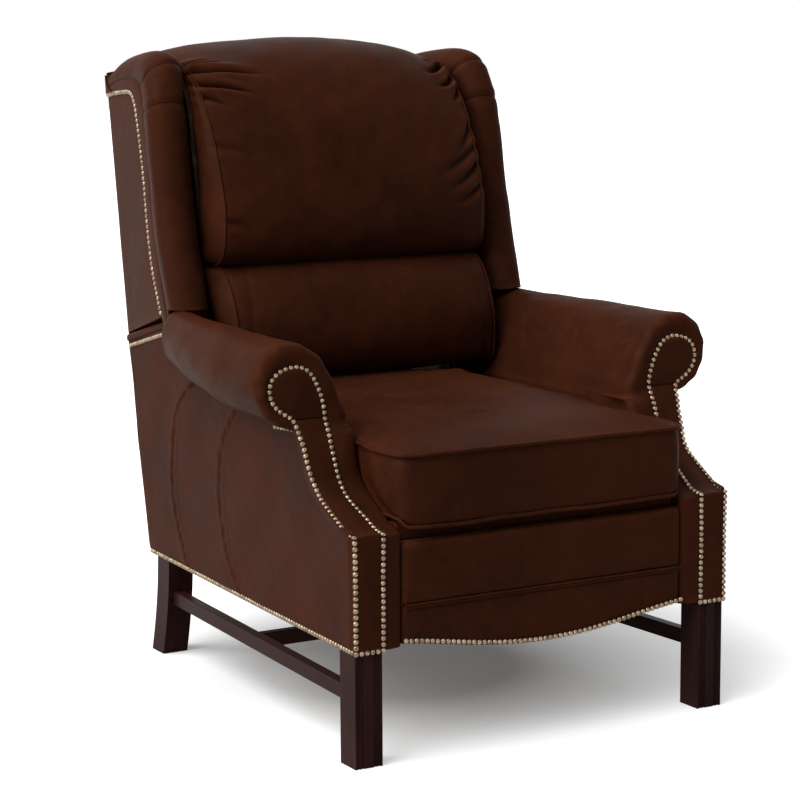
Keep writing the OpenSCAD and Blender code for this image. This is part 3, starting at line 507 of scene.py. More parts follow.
class Nodes:
    """A small writer of node materials."""

    def __init__(self, name: str) -> None:
        """Starts a material with a principled shader.

        Args:
            name: The material's name.
        """
        self.material = bpy.data.materials.new(name)
        self.material.use_nodes = True
        self.tree = self.material.node_tree
        self.shader = next(n for n in self.tree.nodes if n.type == "BSDF_PRINCIPLED")
        self.place = self.add("ShaderNodeTexCoord").outputs["Object"]

    def add(self, kind: str, **values: object) -> bpy.types.Node:
        """Adds a node.

        Args:
            kind: The node's type.
            values: Its properties, and its inputs by name with underscores for spaces.

        Returns:
            The node.
        """
        node = self.tree.nodes.new(kind)
        for key, value in values.items():
            if hasattr(node, key):
                setattr(node, key, value)
            else:
                self.put(node, key.replace("_", " "), value)
        return node

    def put(self, node: bpy.types.Node, socket: object, value: object) -> None:
        """Links or sets one input of a node.

        Args:
            node: The node.
            socket: The input's name or number.
            value: A socket to link from, or a value.
        """
        if isinstance(value, bpy.types.NodeSocket):
            self.tree.links.new(value, node.inputs[socket])
        else:
            node.inputs[socket].default_value = value

    def finish(self, colour: object, rough: object, relief: object) -> bpy.types.Material:
        """Puts colour, roughness and relief into the shader.

        Args:
            colour: The base colour.
            rough: The roughness.
            relief: The output of a bump.

        Returns:
            The finished material.
        """
        for socket, value in (("Base Color", colour), ("Roughness", rough), ("Normal", relief)):
            self.put(self.shader, socket, value)
        return self.material

    def noise(self, scale: float, detail: float = 3, twist: float = 0, at: object = None) -> object:
        """A noise of that many bumps to the metre."""
        return self.add(
            "ShaderNodeTexNoise", Vector=at or self.place, Scale=scale, Detail=detail, Distortion=twist
        ).outputs[0]

    def stretched(self, scale: tuple) -> object:
        """The object's coordinates, stretched by a scale for each axis."""
        return self.add("ShaderNodeMapping", Vector=self.place, Scale=scale).outputs[0]

    def ramp(self, value: object, stops: list) -> object:
        """A colour ramp over a value.

        Args:
            value: The value.
            stops: Pairs of a place and a colour or a grey.

        Returns:
            The ramp's colour.
        """
        node = self.add("ShaderNodeValToRGB", Fac=value)
        bar = node.color_ramp.elements
        while len(bar) < len(stops):
            bar.new(0.5)
        for spot, (at, colour) in zip(bar, stops):
            spot.position = at
            spot.color = (*((colour,) * 3 if isinstance(colour, float) else colour), 1)
        return node.outputs[0]

    def mix(self, factor: object, a: object, b: object, blend: str = "MIX") -> object:
        """Mixes two colours.

        Args:
            factor: The share of the second.
            a: The first colour.
            b: The second colour.
            blend: The way of mixing.

        Returns:
            The mixed colour.
        """
        node = self.tree.nodes.new("ShaderNodeMix")
        node.data_type, node.blend_type = "RGBA", blend
        for socket, value in ((0, factor), (6, a), (7, b)):
            value = (*value, 1) if isinstance(value, tuple) else value
            self.put(node, socket, value)
        return node.outputs[2]

    def math(self, kind: str, a: object, b: object) -> object:
        """A sum, product or the like.

        Args:
            kind: The operation.
            a: The first value.
            b: The second value.

        Returns:
            The result.
        """
        node = self.tree.nodes.new("ShaderNodeMath")
        node.operation = kind
        self.put(node, 0, a)
        self.put(node, 1, b)
        return node.outputs[0]

    def blend(self, a: object, b: object, share: float) -> object:
        """A sum of two values, with a share for the first and the rest for the second."""
        return self.math("ADD", self.math("MULTIPLY", a, share), self.math("MULTIPLY", b, round(1 - share, 4)))

    def bump(self, height: object, strength: float, distance: float, over: object = None) -> object:
        """A bump.

        Args:
            height: The height.
            strength: The bump's strength.
            distance: Its depth in metres.
            over: Another bump under it.

        Returns:
            The bent normal.
        """
        node = self.add("ShaderNodeBump", Strength=strength, Distance=distance, Height=height)
        if over is not None:
            self.put(node, "Normal", over)
        return node.outputs[0]


@dataclass(frozen=True)
class Leather:
    """Mottled chestnut leather with a fine grain, with painted shade darkening its hollows, and warmer on crests."""

    name: str = "chestnut_leather"
    dark: tuple = (0.027, 0.0078, 0.0037)
    brown: tuple = (0.040, 0.0112, 0.0050)
    warm: tuple = (0.057, 0.0150, 0.0060)
    shaded: bool = True
    crest: tuple = (0.078, 0.022, 0.009)
    rough: tuple = (0.42, 0.55)
    gloss: float = 0.02

    def material(self) -> bpy.types.Material:
        """Builds the node material.

        Returns:
            The material.
        """
        n = Nodes(self.name)
        cloud = n.noise(5.5, 6, 0.8)
        patch = n.noise(2.1, 3, 0.5)
        fleck = n.noise(46, 5, 0.4)
        colour = n.ramp(n.blend(cloud, fleck, 0.62), [(0.30, self.dark), (0.47, self.brown), (0.68, self.warm)])
        colour = n.mix(n.ramp(patch, [(0.45, 0.0), (0.66, 0.4)]), colour, self.warm)
        cell = n.add("ShaderNodeTexVoronoi", feature="DISTANCE_TO_EDGE", Vector=n.place, Scale=520.0)
        pore = n.ramp(cell.outputs[0], [(0.0, 0.0), (0.16, 1.0)])
        colour = n.mix(0.12, colour, pore, "MULTIPLY")
        if self.shaded:
            shade = n.add("ShaderNodeAttribute", attribute_name="shade").outputs["Fac"]
            # painted shade: the colour is multiplied down to 0.3 where the shade attribute marks a hollow
            painted_hollow_shade = n.ramp(shade, [(0.12, 0.30), (0.5, 1.0), (0.9, 1.0)])
            colour = n.mix(1.0, colour, painted_hollow_shade, "MULTIPLY")
            high = n.ramp(shade, [(0.55, 0.0), (0.95, 0.5)])
            crest = n.math("MULTIPLY", high, n.ramp(fleck, [(0.35, 0.3), (0.6, 1.0)]))
            colour = n.mix(crest, colour, self.crest)
        low, most = self.rough
        n.put(n.shader, "Specular IOR Level", self.gloss)
        dip = n.bump(n.noise(16, 4, 0.6), 0.3, 0.003)
        fine = n.bump(n.noise(105, 6, 1.4), 0.35, 0.0008, dip)
        relief = n.bump(pore, 0.25, 0.0002, fine)
        return n.finish(colour, n.ramp(n.blend(fleck, cloud, 0.5), [(0.3, low), (0.7, most)]), relief)


@dataclass(frozen=True)
class Wood:
    """Stained or bare wood: long wavy streaks along one axis, with fine pores."""

    name: str
    dark: tuple
    light: tuple
    along: tuple
    rough: tuple
    gloss: float

    def material(self) -> bpy.types.Material:
        """Builds the node material.

        Returns:
            The material.
        """
        n = Nodes(self.name)
        at = n.stretched(self.along)
        streak = n.noise(34, 5, 0.9, at)
        pore = n.noise(260, 3, 0.2, at)
        colour = n.ramp(n.blend(streak, pore, 0.72), [(0.34, self.dark), (0.66, self.light)])
        colour = n.mix(n.ramp(n.noise(9, 3), [(0.35, 0.0), (0.7, 0.35)]), colour, self.dark)
        n.put(n.shader, "Specular IOR Level", self.gloss)
        low, most = self.rough
        return n.finish(colour, n.ramp(streak, [(0.3, low), (0.7, most)]), n.bump(pore, 0.25, 0.0003))


@dataclass(frozen=True)
class Metal:
    """Metal with cloudy tarnish and fine brushing."""

    name: str
    bright: tuple
    dull: tuple
    rough: tuple
    scale: float = 160.0

    def material(self) -> bpy.types.Material:
        """Builds the node material.

        Returns:
            The material.
        """
        n = Nodes(self.name)
        cloud = n.noise(self.scale, 4, 0.3)
        n.put(n.shader, "Metallic", 1.0)
        low, most = self.rough
        colour = n.ramp(cloud, [(0.34, self.dull), (0.62, self.bright)])
        return n.finish(colour, n.ramp(cloud, [(0.3, most), (0.7, low)]), n.bump(n.noise(900, 2), 0.2, 0.0001))


@dataclass(frozen=True)
class Woven:
    """Plain cloth or webbing: crossing threads from two waves, with uneven yarn."""

    name: str
    dark: tuple
    light: tuple
    pitch: float

    def material(self) -> bpy.types.Material:
        """Builds the node material.

        Returns:
            The material.
        """
        n = Nodes(self.name)
        scale = 0.3141 / self.pitch
        waves = [
            n.add("ShaderNodeTexWave", bands_direction=way, Vector=n.place, Scale=scale, Distortion=0.6).outputs[1]
            for way in ("X", "Z")
        ]
        weave = n.math("MULTIPLY", n.math("ADD", waves[0], waves[1]), 0.5)
        yarn = n.noise(300, 4)
        both = n.blend(weave, yarn, 0.6)
        colour = n.ramp(both, [(0.25, self.dark), (0.75, self.light)])
        return n.finish(colour, n.ramp(yarn, [(0.3, 0.85), (0.7, 0.97)]), n.bump(both, 0.6, 0.0006))


@dataclass(frozen=True)
class Moulded:
    """Moulded nylon with a faint cast texture."""

    name: str = "dark_nylon"
    colour: tuple = (0.020, 0.020, 0.023)

    def material(self) -> bpy.types.Material:
        """Builds the node material.

        Returns:
            The material.
        """
        n = Nodes(self.name)
        grain = n.noise(420, 4)
        lighter = tuple(c * 1.7 for c in self.colour)
        colour = n.ramp(grain, [(0.35, self.colour), (0.7, lighter)])
        return n.finish(colour, n.ramp(grain, [(0.3, 0.45), (0.7, 0.6)]), n.bump(grain, 0.2, 0.0002))


class Finishes:
    """All the finishes of the chair, made once."""

    def __init__(self) -> None:
        """Makes the materials."""
        self.leather = Leather().material()
        self.welt = Leather(
            "chestnut_welt", (0.026, 0.0076, 0.0037), (0.042, 0.0117, 0.0052), (0.062, 0.0162, 0.0066), False
        ).material()
        # painted shade: a near-black leather for the dark lines laid in the sewn seams of the wing rolls
        self.stitch = Leather(
            "seam_shade_line", (0.006, 0.0025, 0.0018), (0.010, 0.0038, 0.0026), (0.016, 0.006, 0.004), False
        ).material()
        self.mahogany, self.rail_wood, self.cross_wood = (
            Wood(name, (0.012, 0.0042, 0.0036), (0.034, 0.0098, 0.0075), along, (0.34, 0.46), 0.05).material()
            for name, along in (
                ("dark_mahogany", (1, 1, 0.09)), ("mahogany_rail", (1, 0.09, 1)), ("mahogany_cross", (0.09, 1, 1))
            )
        )
        self.beech = Wood(
            "bare_beech", (0.42, 0.27, 0.14), (0.62, 0.45, 0.27), (1, 0.12, 1), (0.55, 0.7), 0.3
        ).material()
        self.brass = Metal("antique_brass", (0.36, 0.28, 0.19), (0.14, 0.10, 0.065), (0.30, 0.46)).material()
        self.steel = Metal("zinc_steel", (0.50, 0.51, 0.52), (0.30, 0.31, 0.33), (0.28, 0.42), 60).material()
        self.jute = Woven("jute_webbing", (0.20, 0.15, 0.085), (0.42, 0.34, 0.22), 0.004).material()
        self.nylon = Moulded().material()


def dress(piece: Piece, material: bpy.types.Material, body: str) -> Piece:
    """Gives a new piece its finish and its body.

    Args:
        piece: The piece.
        material: Its material.
        body: The body that it moves with.

    Returns:
        The piece.
    """
    piece.data.materials.clear()
    piece.data.materials.append(material)
    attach(piece, body)
    log.info("%s: %d faces, on %s", piece.name, len(piece.data.polygons), body)
    return piece


def upholster(piece: Piece, kit: Finishes, body: str, nodes: tuple) -> None:
    """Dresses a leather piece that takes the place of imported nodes.

    Args:
        piece: The piece.
        kit: The finishes.
        body: The body that it moves with.
        nodes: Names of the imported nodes.
    """
    mark_shade(piece)
    dress(piece, kit.leather, body)
    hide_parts(*nodes)


# ---- the chair's faces


@dataclass(frozen=True)
class Chair:
    """The faces of the chair that several pieces share.

    front is the face of the posts, depth the length of the sides at the skirt, rake the angle at which they
    draw in towards the back, and foot the depth and height of the back unit's lower rear edge.
    """

    seat_half: float = 266.0
    out_half: float = 354.0
    rake: float = radians(3)
    front: float = -4.0
    depth: float = 851.0
    skirt: float = 180.0
    side_lean: float = radians(13)
    lean: float = radians(11)
    foot_y: float = 943.27
    foot_z: float = 597.0
    sweep_low: float = 366.0
    sweep_rise: float = 159.0
    sweep_depth: float = 165.0

    SWEEP = (
        (0, 0), (0.145, 0.025), (0.30, 0.107), (0.47, 0.20), (0.63, 0.302), (0.74, 0.428), (0.80, 0.565),
        (0.855, 0.70), (0.915, 0.849), (1, 1)
    )

    @property
    def scroll_y(self) -> float:
        """The depth of the scrolls' faces."""
        return self.front + self.sweep_depth

    def rear(self, z: Array) -> Array:
        """The depth of the sides' back edge at a height."""
        return self.front + self.depth + (z - self.skirt) * tan(self.side_lean)

    def out_x(self, y: Array) -> Array:
        """The outside of the sides at a depth."""
        return self.out_half - (y - self.front) * tan(self.rake)

    def arm_y(self, z: Array) -> Array:
        """The depth of the arm's front at a height: the post, the S-shaped sweep, the scroll."""
        back, up = spline(self.SWEEP, 73).T
        return np.interp(z, self.sweep_low + up * self.sweep_rise, self.front + back * self.sweep_depth)

    def arm_normal(self, z: Array) -> Array:
        """The direction in which the arm's front looks: one step across the slope of its line.

        Args:
            z: Heights.

        Returns:
            A unit vector for each height.
        """
        slope = (self.arm_y(np.asarray(z) + 3) - self.arm_y(np.asarray(z) - 3)) / 6
        n = np.stack([slope * 0, slope * 0 - 1, slope], -1)
        return n / np.linalg.norm(n, axis=-1, keepdims=True)


CHAIR = Chair()


@dataclass
class SidePart:
    """A sub-assembly that is made once for each side."""

    side: Side

    def named(self, name: str) -> str:
        """A name with the side's word behind it."""
        return f"{name}_{self.side.word}"

    def turned(self, points: Array) -> Array:
        """The points as they lie on this side: x is turned round for the left."""
        return points * np.array([self.side.value, 1, 1])

    def plate(self, name: str, top: Array, under: Array) -> Piece:
        """A slab on this side."""
        return slab(self.named(name), self.turned(top), self.turned(under))

    def nails(self, name: str, places: Array, outward: Array, kit: Finishes, body: str) -> None:
        """A row of nails on this side."""
        dress(nail_heads(self.named(name), self.turned(places), self.turned(outward)), kit.brass, body)


# ---- arms


@dataclass
class Arm(SidePart):
    """One arm: the roll with the inside, the nailed front, the outside panel and the band behind.

    wrap is how far back the leather runs from the nails before it is straight, and puff how far it swells out
    on the way. The roll's outlines are shares of its box. The rows of nails are (x, height) on the arm's
    front, and the side seams (depth, height).
    """

    wrap: float = 15.0
    puff: float = 7.0
    leather: float = 7.0
    inside_top: float = 503.0
    roll_rear: float = 626.0
    rear_end: float = 735.0

    AROUND = 76
    END_ROWS = ((0.985, 8), (0.93, 15), (0.80, 20))
    ROLL_MIDDLE = np.array([300.0, 575.0])
    ROLL_FRONT = (
        (0.008, 0.06), (0.02, 0.11), (0.06, 0.285), (0.135, 0.50), (0.235, 0.72), (0.36, 0.89), (0.51, 0.975),
        (0.67, 1), (0.82, 0.955), (0.93, 0.84), (0.99, 0.70), (1, 0.55), (0.965, 0.39), (0.90, 0.26),
        (0.79, 0.165), (0.66, 0.105), (0.58, 0.075)
    )
    ROLL_REAR = (
        (0.012, 0.07), (0.03, 0.13), (0.08, 0.31), (0.16, 0.52), (0.27, 0.74), (0.40, 0.90), (0.55, 0.975),
        (0.70, 1), (0.84, 0.965), (0.94, 0.88), (0.99, 0.78), (1, 0.68), (0.975, 0.59), (0.90, 0.52),
        (0.80, 0.475), (0.70, 0.44), (0.62, 0.38)
    )
    INNER_ROW = (
        (303, 184), (303, 240), (303, 300), (302, 361), (303, 378), (307, 393), (310, 405), (311, 427), (312, 458),
        (313, 484), (313, 508), (313, 535)
    )
    SCROLL = (
        (313, 535), (320, 563), (333, 590), (346, 603), (362, 608), (379, 606), (394, 600), (405, 589), (409, 572),
        (405, 556), (395, 543), (382, 534), (370, 527)
    )
    OUTER_ROW = (
        (370, 527), (366, 516), (364, 501), (361, 483), (360, 460), (358, 442), (356, 425), (356, 407), (355, 394),
        (354, 379), (352, 361), (351, 300), (351, 240), (351, 184)
    )
    SIDE_SEAMS = (
        ((425, 184), (480, 245), (507, 311), (511, 377), (492, 441), (442, 494), (395, 530)),
        ((661, 184), (714, 274), (728, 330), (723, 377), (706, 449), (676, 487), (631, 516), (570, 545))
    )

    def front_point(self, flat: Array, lift: Array | float) -> Array:
        """Puts points onto the arm's front, lifted off it.

        Args:
            flat: Points (x, height).
            lift: How far each one is lifted.

        Returns:
            The points in space.
        """
        z = flat[..., 1]
        base = np.stack([flat[..., 0], CHAIR.arm_y(z), z], -1)
        return base + CHAIR.arm_normal(z) * np.asarray(lift)[..., None]

    def roll(self, y: Array) -> Array:
        """The outline of the roll: a blend of its front and rear outlines, by the square of the depth.

        Args:
            y: Depths.

        Returns:
            For each depth, a row of points (x, height).
        """
        t = (np.clip((y - CHAIR.scroll_y) / 529, 0, 1) ** 2)[:, None, None]
        front = spline(self.ROLL_FRONT, self.AROUND)[None] * [166, 151]
        rear = spline(self.ROLL_REAR, self.AROUND)[None] * [92, 156]
        return np.array([CHAIR.seat_half, 495]) + front * (1 - t) + rear * t

    def cover_body(self, up: Array) -> Array:
        """The rows of the cover that run straight back: the inside, then the roll's outline.

        Args:
            up: The heights of the points on the inside.

        Returns:
            The grid of points.
        """
        depth = np.linspace(0, 1, 44)
        start = CHAIR.scroll_y + self.wrap
        inside = np.stack(np.broadcast_arrays(CHAIR.seat_half, up[None, :]), -1) + np.zeros((len(depth), 1, 1))
        flat = np.concatenate([inside, self.roll(start + depth * (self.roll_rear - start))], axis=1)
        edge = CHAIR.arm_y(up) + self.wrap
        front = np.concatenate([edge, np.full(self.AROUND, start)])
        rear = np.concatenate([
            np.where(up < 352, edge + 8, self.rear_end),
            self.rear_end - (self.rear_end - self.roll_rear) * ease(np.arange(self.AROUND) / 9)
        ])
        y = front[None] + depth[:, None] * (rear - front)[None]
        return np.stack([flat[..., 0], y, flat[..., 1]], -1)

    def cover_wrap(self, up: Array, edge: Array) -> Array:
        """The rows from the nails to the outline: a quarter ellipse, swollen by the sine of twice the angle.

        Args:
            up: The heights of the points on the inside.
            edge: The first straight row.

        Returns:
            The grid of points.
        """
        inner = spline(self.INNER_ROW, 300)
        loop = even(np.concatenate([inner[inner[:, 1] > 506], spline(self.SCROLL, 240)[1:]]), self.AROUND)
        nails = np.concatenate([np.stack([np.interp(up, inner[:, 1], inner[:, 0]), up], 1), loop])
        target = self.front_point(nails, -1.5)
        swell = np.concatenate([ease((up - 420) / 90), np.ones(self.AROUND)]) * self.puff
        rows = []
        for q in np.linspace(0, 1, 15)[:-1] * pi / 2:
            row = target + (edge - target) * sin(q) ** 0.92
            row[:, 1] = edge[:, 1] - (edge[:, 1] - target[:, 1]) * cos(q) ** 0.75 - swell * sin(2 * q)
            rows.append(row)
        return np.stack(rows)

    def cover_end(self, up: Array, last: Array) -> Array:
        """The rows that turn the roll's rear end in towards its middle.

        Args:
            up: The heights of the points on the inside, which stay.
            last: The last straight row.

        Returns:
            The grid of points.
        """
        pull = np.concatenate([np.zeros(len(up)), ease(np.arange(self.AROUND) / 8)])[:, None]
        rows = []
        for share, back in self.END_ROWS:
            row = last.copy()
            row[:, [0, 2]] += (self.ROLL_MIDDLE - row[:, [0, 2]]) * (1 - share) * pull
            row[:, 1] += back * pull[:, 0]
            rows.append(row)
        return np.stack(rows)

    def build_cover(self, kit: Finishes) -> None:
        """The inside of the arm and its roll, one skin that wraps forwards to the nails, with fine pleats.

        Args:
            kit: The finishes.
        """
        up = np.linspace(HEM, self.inside_top, 46)
        body = self.cover_body(up)
        skin = np.concatenate([self.cover_wrap(up, body[0]), body, self.cover_end(up, body[-1])])
        normal = grid_normals(skin)
        row, column = np.arange(skin.shape[0])[:, None], np.arange(skin.shape[1])[None]
        lump = ripple(skin, 120, 11) * 1.3 + ripple(skin * [1, 0.5, 1], 34, 12) * 0.45
        pleat = np.sin(column * 0.95) * bell(row - 12, 5)
        lump = lump + pleat * 0.9 * (column > len(up))
        grow = ease((skin[..., 2] - 380) / 80) * ease((row - 0.5) / 4)
        out = np.sign((normal[40, 90] * np.array([1, 0, 0.6])).sum())
        skin = skin + normal * (lump * grow * out)[..., None]
        piece = self.plate("arm_cover", skin, skin - normal * self.leather * out)
        upholster(piece, kit, "base", (self.named("inside_arm"), self.named("arm_roll")))

    def build_face(self, kit: Finishes) -> None:
        """The panel inside the nails: its edges follow the two rows, and it is crowned by a power of the sine.

        Args:
            kit: The finishes.
        """
        left = np.concatenate([spline(self.INNER_ROW, 200), spline(self.SCROLL[:5], 80)[1:]])
        right = np.concatenate([spline(self.OUTER_ROW, 200)[::-1], spline(self.SCROLL[4:], 160)[::-1][1:]])
        z = np.concatenate([np.linspace(183, 520, 90), 608.3 - 88 * (np.cos(np.linspace(0, pi / 2, 40)[1:]))])
        a = np.interp(z, left[:, 1], left[:, 0]) - 1.2
        b = np.interp(z, right[:, 1], right[:, 0]) + 1.2
        v = np.linspace(0, 1, 17)
        x = a[:, None] + (b - a)[:, None] * v
        flat = np.stack([x, np.broadcast_to(z[:, None], x.shape)], -1)
        high = (2.2 + 3.2 * ease((z - 500) / 60))[:, None] * np.clip((b - a)[:, None] / 46, 0, 1)
        crown = np.sin(pi * v)[None] ** 0.6 * high
        lump = ripple(np.stack([x, 0 * x, flat[..., 1]], -1), 60, 21) * 0.5
        top = self.front_point(flat, crown + lump * np.sin(pi * v)[None])
        piece = self.plate("arm_face", top, self.front_point(flat, -9 + 0 * crown))
        upholster(piece, kit, "base", (self.named("arm_front"),))

    def build_nails(self, kit: Finishes) -> None:
        """One row of nails up the inner edge, round the scroll, down the outer edge and along the bottom.

        Args:
            kit: The finishes.
        """
        rows = [spline(self.INNER_ROW, 200), spline(self.SCROLL, 200)[1:], spline(self.OUTER_ROW, 200)[1:]]
        row = even(self.front_point(np.concatenate(rows), 0.6), step=NAIL_PITCH)
        across = np.stack([np.linspace(312.5, 341.5, 4), np.full(4, CHAIR.front - 0.8), np.full(4, HEM)], 1)
        places = np.concatenate([row, across])
        self.nails("arm_nails", places, CHAIR.arm_normal(places[:, 2]), kit, "base")

    def side_row(self, name: str, y: Array, z: Array | float, lift: float, kit: Finishes) -> None:
        """A row of nails that point straight out of the side.

        Args:
            name: The row's name.
            y: The nails' depths.
            z: Their heights.
            lift: How far they stand off the side's face.
            kit: The finishes.
        """
        places = np.stack([CHAIR.out_x(y) + lift, y, z + 0 * y], 1)
        outward = np.broadcast_to([cos(CHAIR.rake), sin(CHAIR.rake), 0.0], places.shape)
        self.nails(name, places, outward, kit, "base")

    def build_panel(self, kit: Finishes) -> None:
        """The outside panel: ruled between its front and back edges, with flared neck and two bowed seams.

        Args:
            kit: The finishes.
        """
        v = np.linspace(0, 1, 64)
        u = np.linspace(0, 1, 120)
        low = CHAIR.skirt + 0.5
        front = CHAIR.arm_y(low + v * 344) + 5
        top_z = np.interp(CHAIR.scroll_y + u * 775, [161, 690, 936], [533, 619, 566])
        z = low + v[None] * (top_z - low)[:, None]
        y = front[None] + (CHAIR.rear(z) - front[None]) * u[:, None]
        x = CHAIR.out_x(y)
        outer = spline(self.OUTER_ROW, 200)[::-1]
        reach = np.interp(z, outer[:, 1], outer[:, 0]) + 4.5 - CHAIR.out_x(CHAIR.arm_y(z))
        near = np.clip((y - CHAIR.arm_y(z)) / 58, 0, 1)
        x = x + reach * (1 - near) ** 2
        x = x - 4.0 * bell(y - front[None], 3.5)
        for seam in self.SIDE_SEAMS:
            line = spline(seam, 120)
            d = y - np.interp(z, line[:, 1], line[:, 0])
            x = x - 3.4 * bell(d, 3.0) + 1.4 * bell(d - 8, 6) + 1.0 * bell(d + 9, 6)
        x = x - 2.5 * bell(z - CHAIR.skirt, 9)
        place = np.stack([x, y, z], -1)
        x = x + ripple(place, 190, 31) * 1.4 + ripple(place, 60, 32) * 0.35
        top = np.stack([x, y, z], -1)
        piece = self.plate("outside_panel", top, top - [self.leather, 0, 0])
        upholster(piece, kit, "base", (self.named("side_panel"),))
        self.side_row("bottom_nails", np.arange(6, CHAIR.rear(HEM) - 4, NAIL_PITCH), HEM + 0.5, -1.2, kit)
        under_y = 213 + NAIL_PITCH * 1.35 * np.arange(6)
        self.side_row("roll_nails", under_y, 501 - (under_y - 213) * 0.07, 1.0, kit)

    def build_band(self, kit: Finishes) -> None:
        """The padded band behind the roll, a superellipse carried along the side, over the nailed seam.

        Args:
            kit: The finishes.
        """
        y = np.linspace(640, CHAIR.rear(570) - 8, 56)
        low = 560 + (929 - y) * 0.234
        high = 577 + (928 - y) * 0.245
        loop = superellipse(40, 3.2)
        half = ((high - low) / 2)[:, None]
        mid = ((high + low) / 2)[:, None]
        x = (CHAIR.out_x(y) - 15)[:, None] + loop[None, :, 0] * 20
        rings = np.stack([x, np.broadcast_to(y[:, None], x.shape), mid + loop[None, :, 1] * half], -1)
        piece = ringed(self.named("rear_band_cover"), self.turned(rings))
        upholster(piece, kit, "base", (self.named("rear_band"),))
        run = np.arange(690, 928, NAIL_PITCH)
        self.side_row("seam_nails", run, 553 + (929 - run) * 0.235, 1.2, kit)

    def build(self, kit: Finishes) -> None:
        """Builds the whole arm.

        Args:
            kit: The finishes.
        """
        self.build_cover(kit)
        self.build_face(kit)
        self.build_nails(kit)
        self.build_panel(kit)
        self.build_band(kit)


# ---- seat


@dataclass
class SeatCushion:
    """The boxed seat cushion, which rises to the back, with a welt round its top and its bottom edge."""

    half: float = 264.5
    front: float = -6.0
    back: float = 662.0
    low: float = 377.0
    high: float = 482.0
    sag: float = 12.0
    flare: float = 9.0
    welt: float = 3.1
    most: tuple = (265.6, -12, 664, 521)  # half width, front, back and top of the space that it keeps to

    RISE = ((-6, 6), (30, 12), (120, 19), (236, 26), (360, 33), (520, 38), (600, 38), (662, 28))

    def outline(self, share: float, count: int = 260) -> Array:
        """The cushion's outline in plan, a squarish superellipse.

        Args:
            share: The share of its size.
            count: How many points to return.

        Returns:
            Points (x, depth).
        """
        loop = even(np.concatenate([superellipse(400, 20), superellipse(400, 20)[:1]]), count + 1)[:-1] * share
        depth = (self.back - self.front) / 2
        return np.stack([loop[:, 0] * self.half, self.front + depth + loop[:, 1] * depth], 1)

    def crown(self, x: Array, y: Array) -> Array:
        """How far the top is above the top welt: higher to the back, and steep at its borders.

        Args:
            x: Places across.
            y: Depths.

        Returns:
            The height over the welt.
        """
        rise = np.interp(y, *zip(*self.RISE))
        across = np.clip(1 - np.abs(x / (self.half + 1)) ** 7, 0, 1) ** 0.55
        edge = np.clip(np.minimum(y - self.front, self.back - y) / 34, 0, 1)
        return rise * across * (1 - (1 - edge) ** 2.4)

    def underside(self, y: Array) -> Array:
        """The height of the bottom, which sags in front of the border."""
        return self.low - self.sag * ease((15 - y) / 11)

    def build(self, kit: Finishes) -> None:
        """Builds the cushion: rings under it, up the box and over the crown, puffed up, then its welts.

        Args:
            kit: The finishes.
        """
        rings = []
        for share in (0.25, 0.6, 0.9, 0.965, 0.985):
            flat = self.outline(share)
            lift = 2.5 * ease((share - 0.96) / 0.03)
            rings.append(np.column_stack([flat, self.underside(flat[:, 1]) + lift]))
        foot = self.underside(self.outline(0.993)[:, 1])
        for v in np.linspace(0.06, 0.97, 11):
            bulged = self.outline(0.992 + 0.006 * sin(pi * v))
            rings.append(np.column_stack([bulged, foot * (1 - v) + self.high * v]))
        for a in np.radians(np.linspace(9, 88, 22)):
            flat = self.outline(0.992 * cos(a))
            rings.append(np.column_stack([flat, self.high + self.crown(flat[:, 0], flat[:, 1])]))
        piece = ringed("seat_cushion_cover", np.stack(rings))
        welts = np.concatenate([self.welt_path(self.high), self.welt_path(0.0)])
        Puff(cap=0.010, hold=0.006).fill(piece, metres(welts))
        subdivide(piece)
        reshape(piece, self.settle)
        upholster(piece, kit, "seat", ("seat_cushion",))
        for name, z in (("top", self.high), ("bottom", 0.0)):
            ring = tube_rings(self.flared(self.welt_path(z)), self.welt, [0, 0, 1], 10, True)
            dress(ringed(f"seat_welt_{name}", ring, True), kit.welt, "seat")

    def welt_path(self, z: float) -> Array:
        """The welt's line, slightly wavy.

        Args:
            z: Its height, or 0 for the bottom edge.

        Returns:
            The points of the closed line.
        """
        loop = self.outline(0.997)
        path = np.column_stack([loop, np.full(len(loop), z) if z else self.underside(loop[:, 1]) + 4.5])
        path[:, 2] += ripple(path, 150, 41) * 1.0
        return path

    def flared(self, place: Array) -> Array:
        """Spreads the front corners sideways, where the arms sweep away in front of them.

        Args:
            place: Points of the cushion.

        Returns:
            The moved points.
        """
        place = place.copy()
        free = ease((CHAIR.arm_y(place[:, 2]) - 4 - place[:, 1]) / 46)
        place[:, 0] += np.sign(place[:, 0]) * self.flare * free * ease((np.abs(place[:, 0]) - 120) / 140)
        return place

    def settle(self, place: Array, normal: Array) -> Array:
        """Keeps the cushion in its space, with soft dimples, and flat where it rests.

        Args:
            place: Points of the cushion.
            normal: Their normals.

        Returns:
            The moved points.
        """
        top = ease((place[:, 2] - 470) / 30)
        lump = ripple(place, 230, 42) * 2.4 + ripple(place, 80, 43) * 0.8
        wrinkle = bell(place[:, 2] - 474 - ripple(place * [1, 1, 0], 60, 44) * 3, 3.5) * -0.5
        place = place + normal * (lump * (0.2 + 0.8 * top) + wrinkle)[:, None]
        side, front, back, high = self.most
        place[:, 0] = np.clip(place[:, 0], -side, side)
        place[:, 1] = np.clip(place[:, 1], front, back)
        place[:, 2] = np.clip(place[:, 2], self.underside(place[:, 1]) - 0.4, high)
        return self.flared(place)


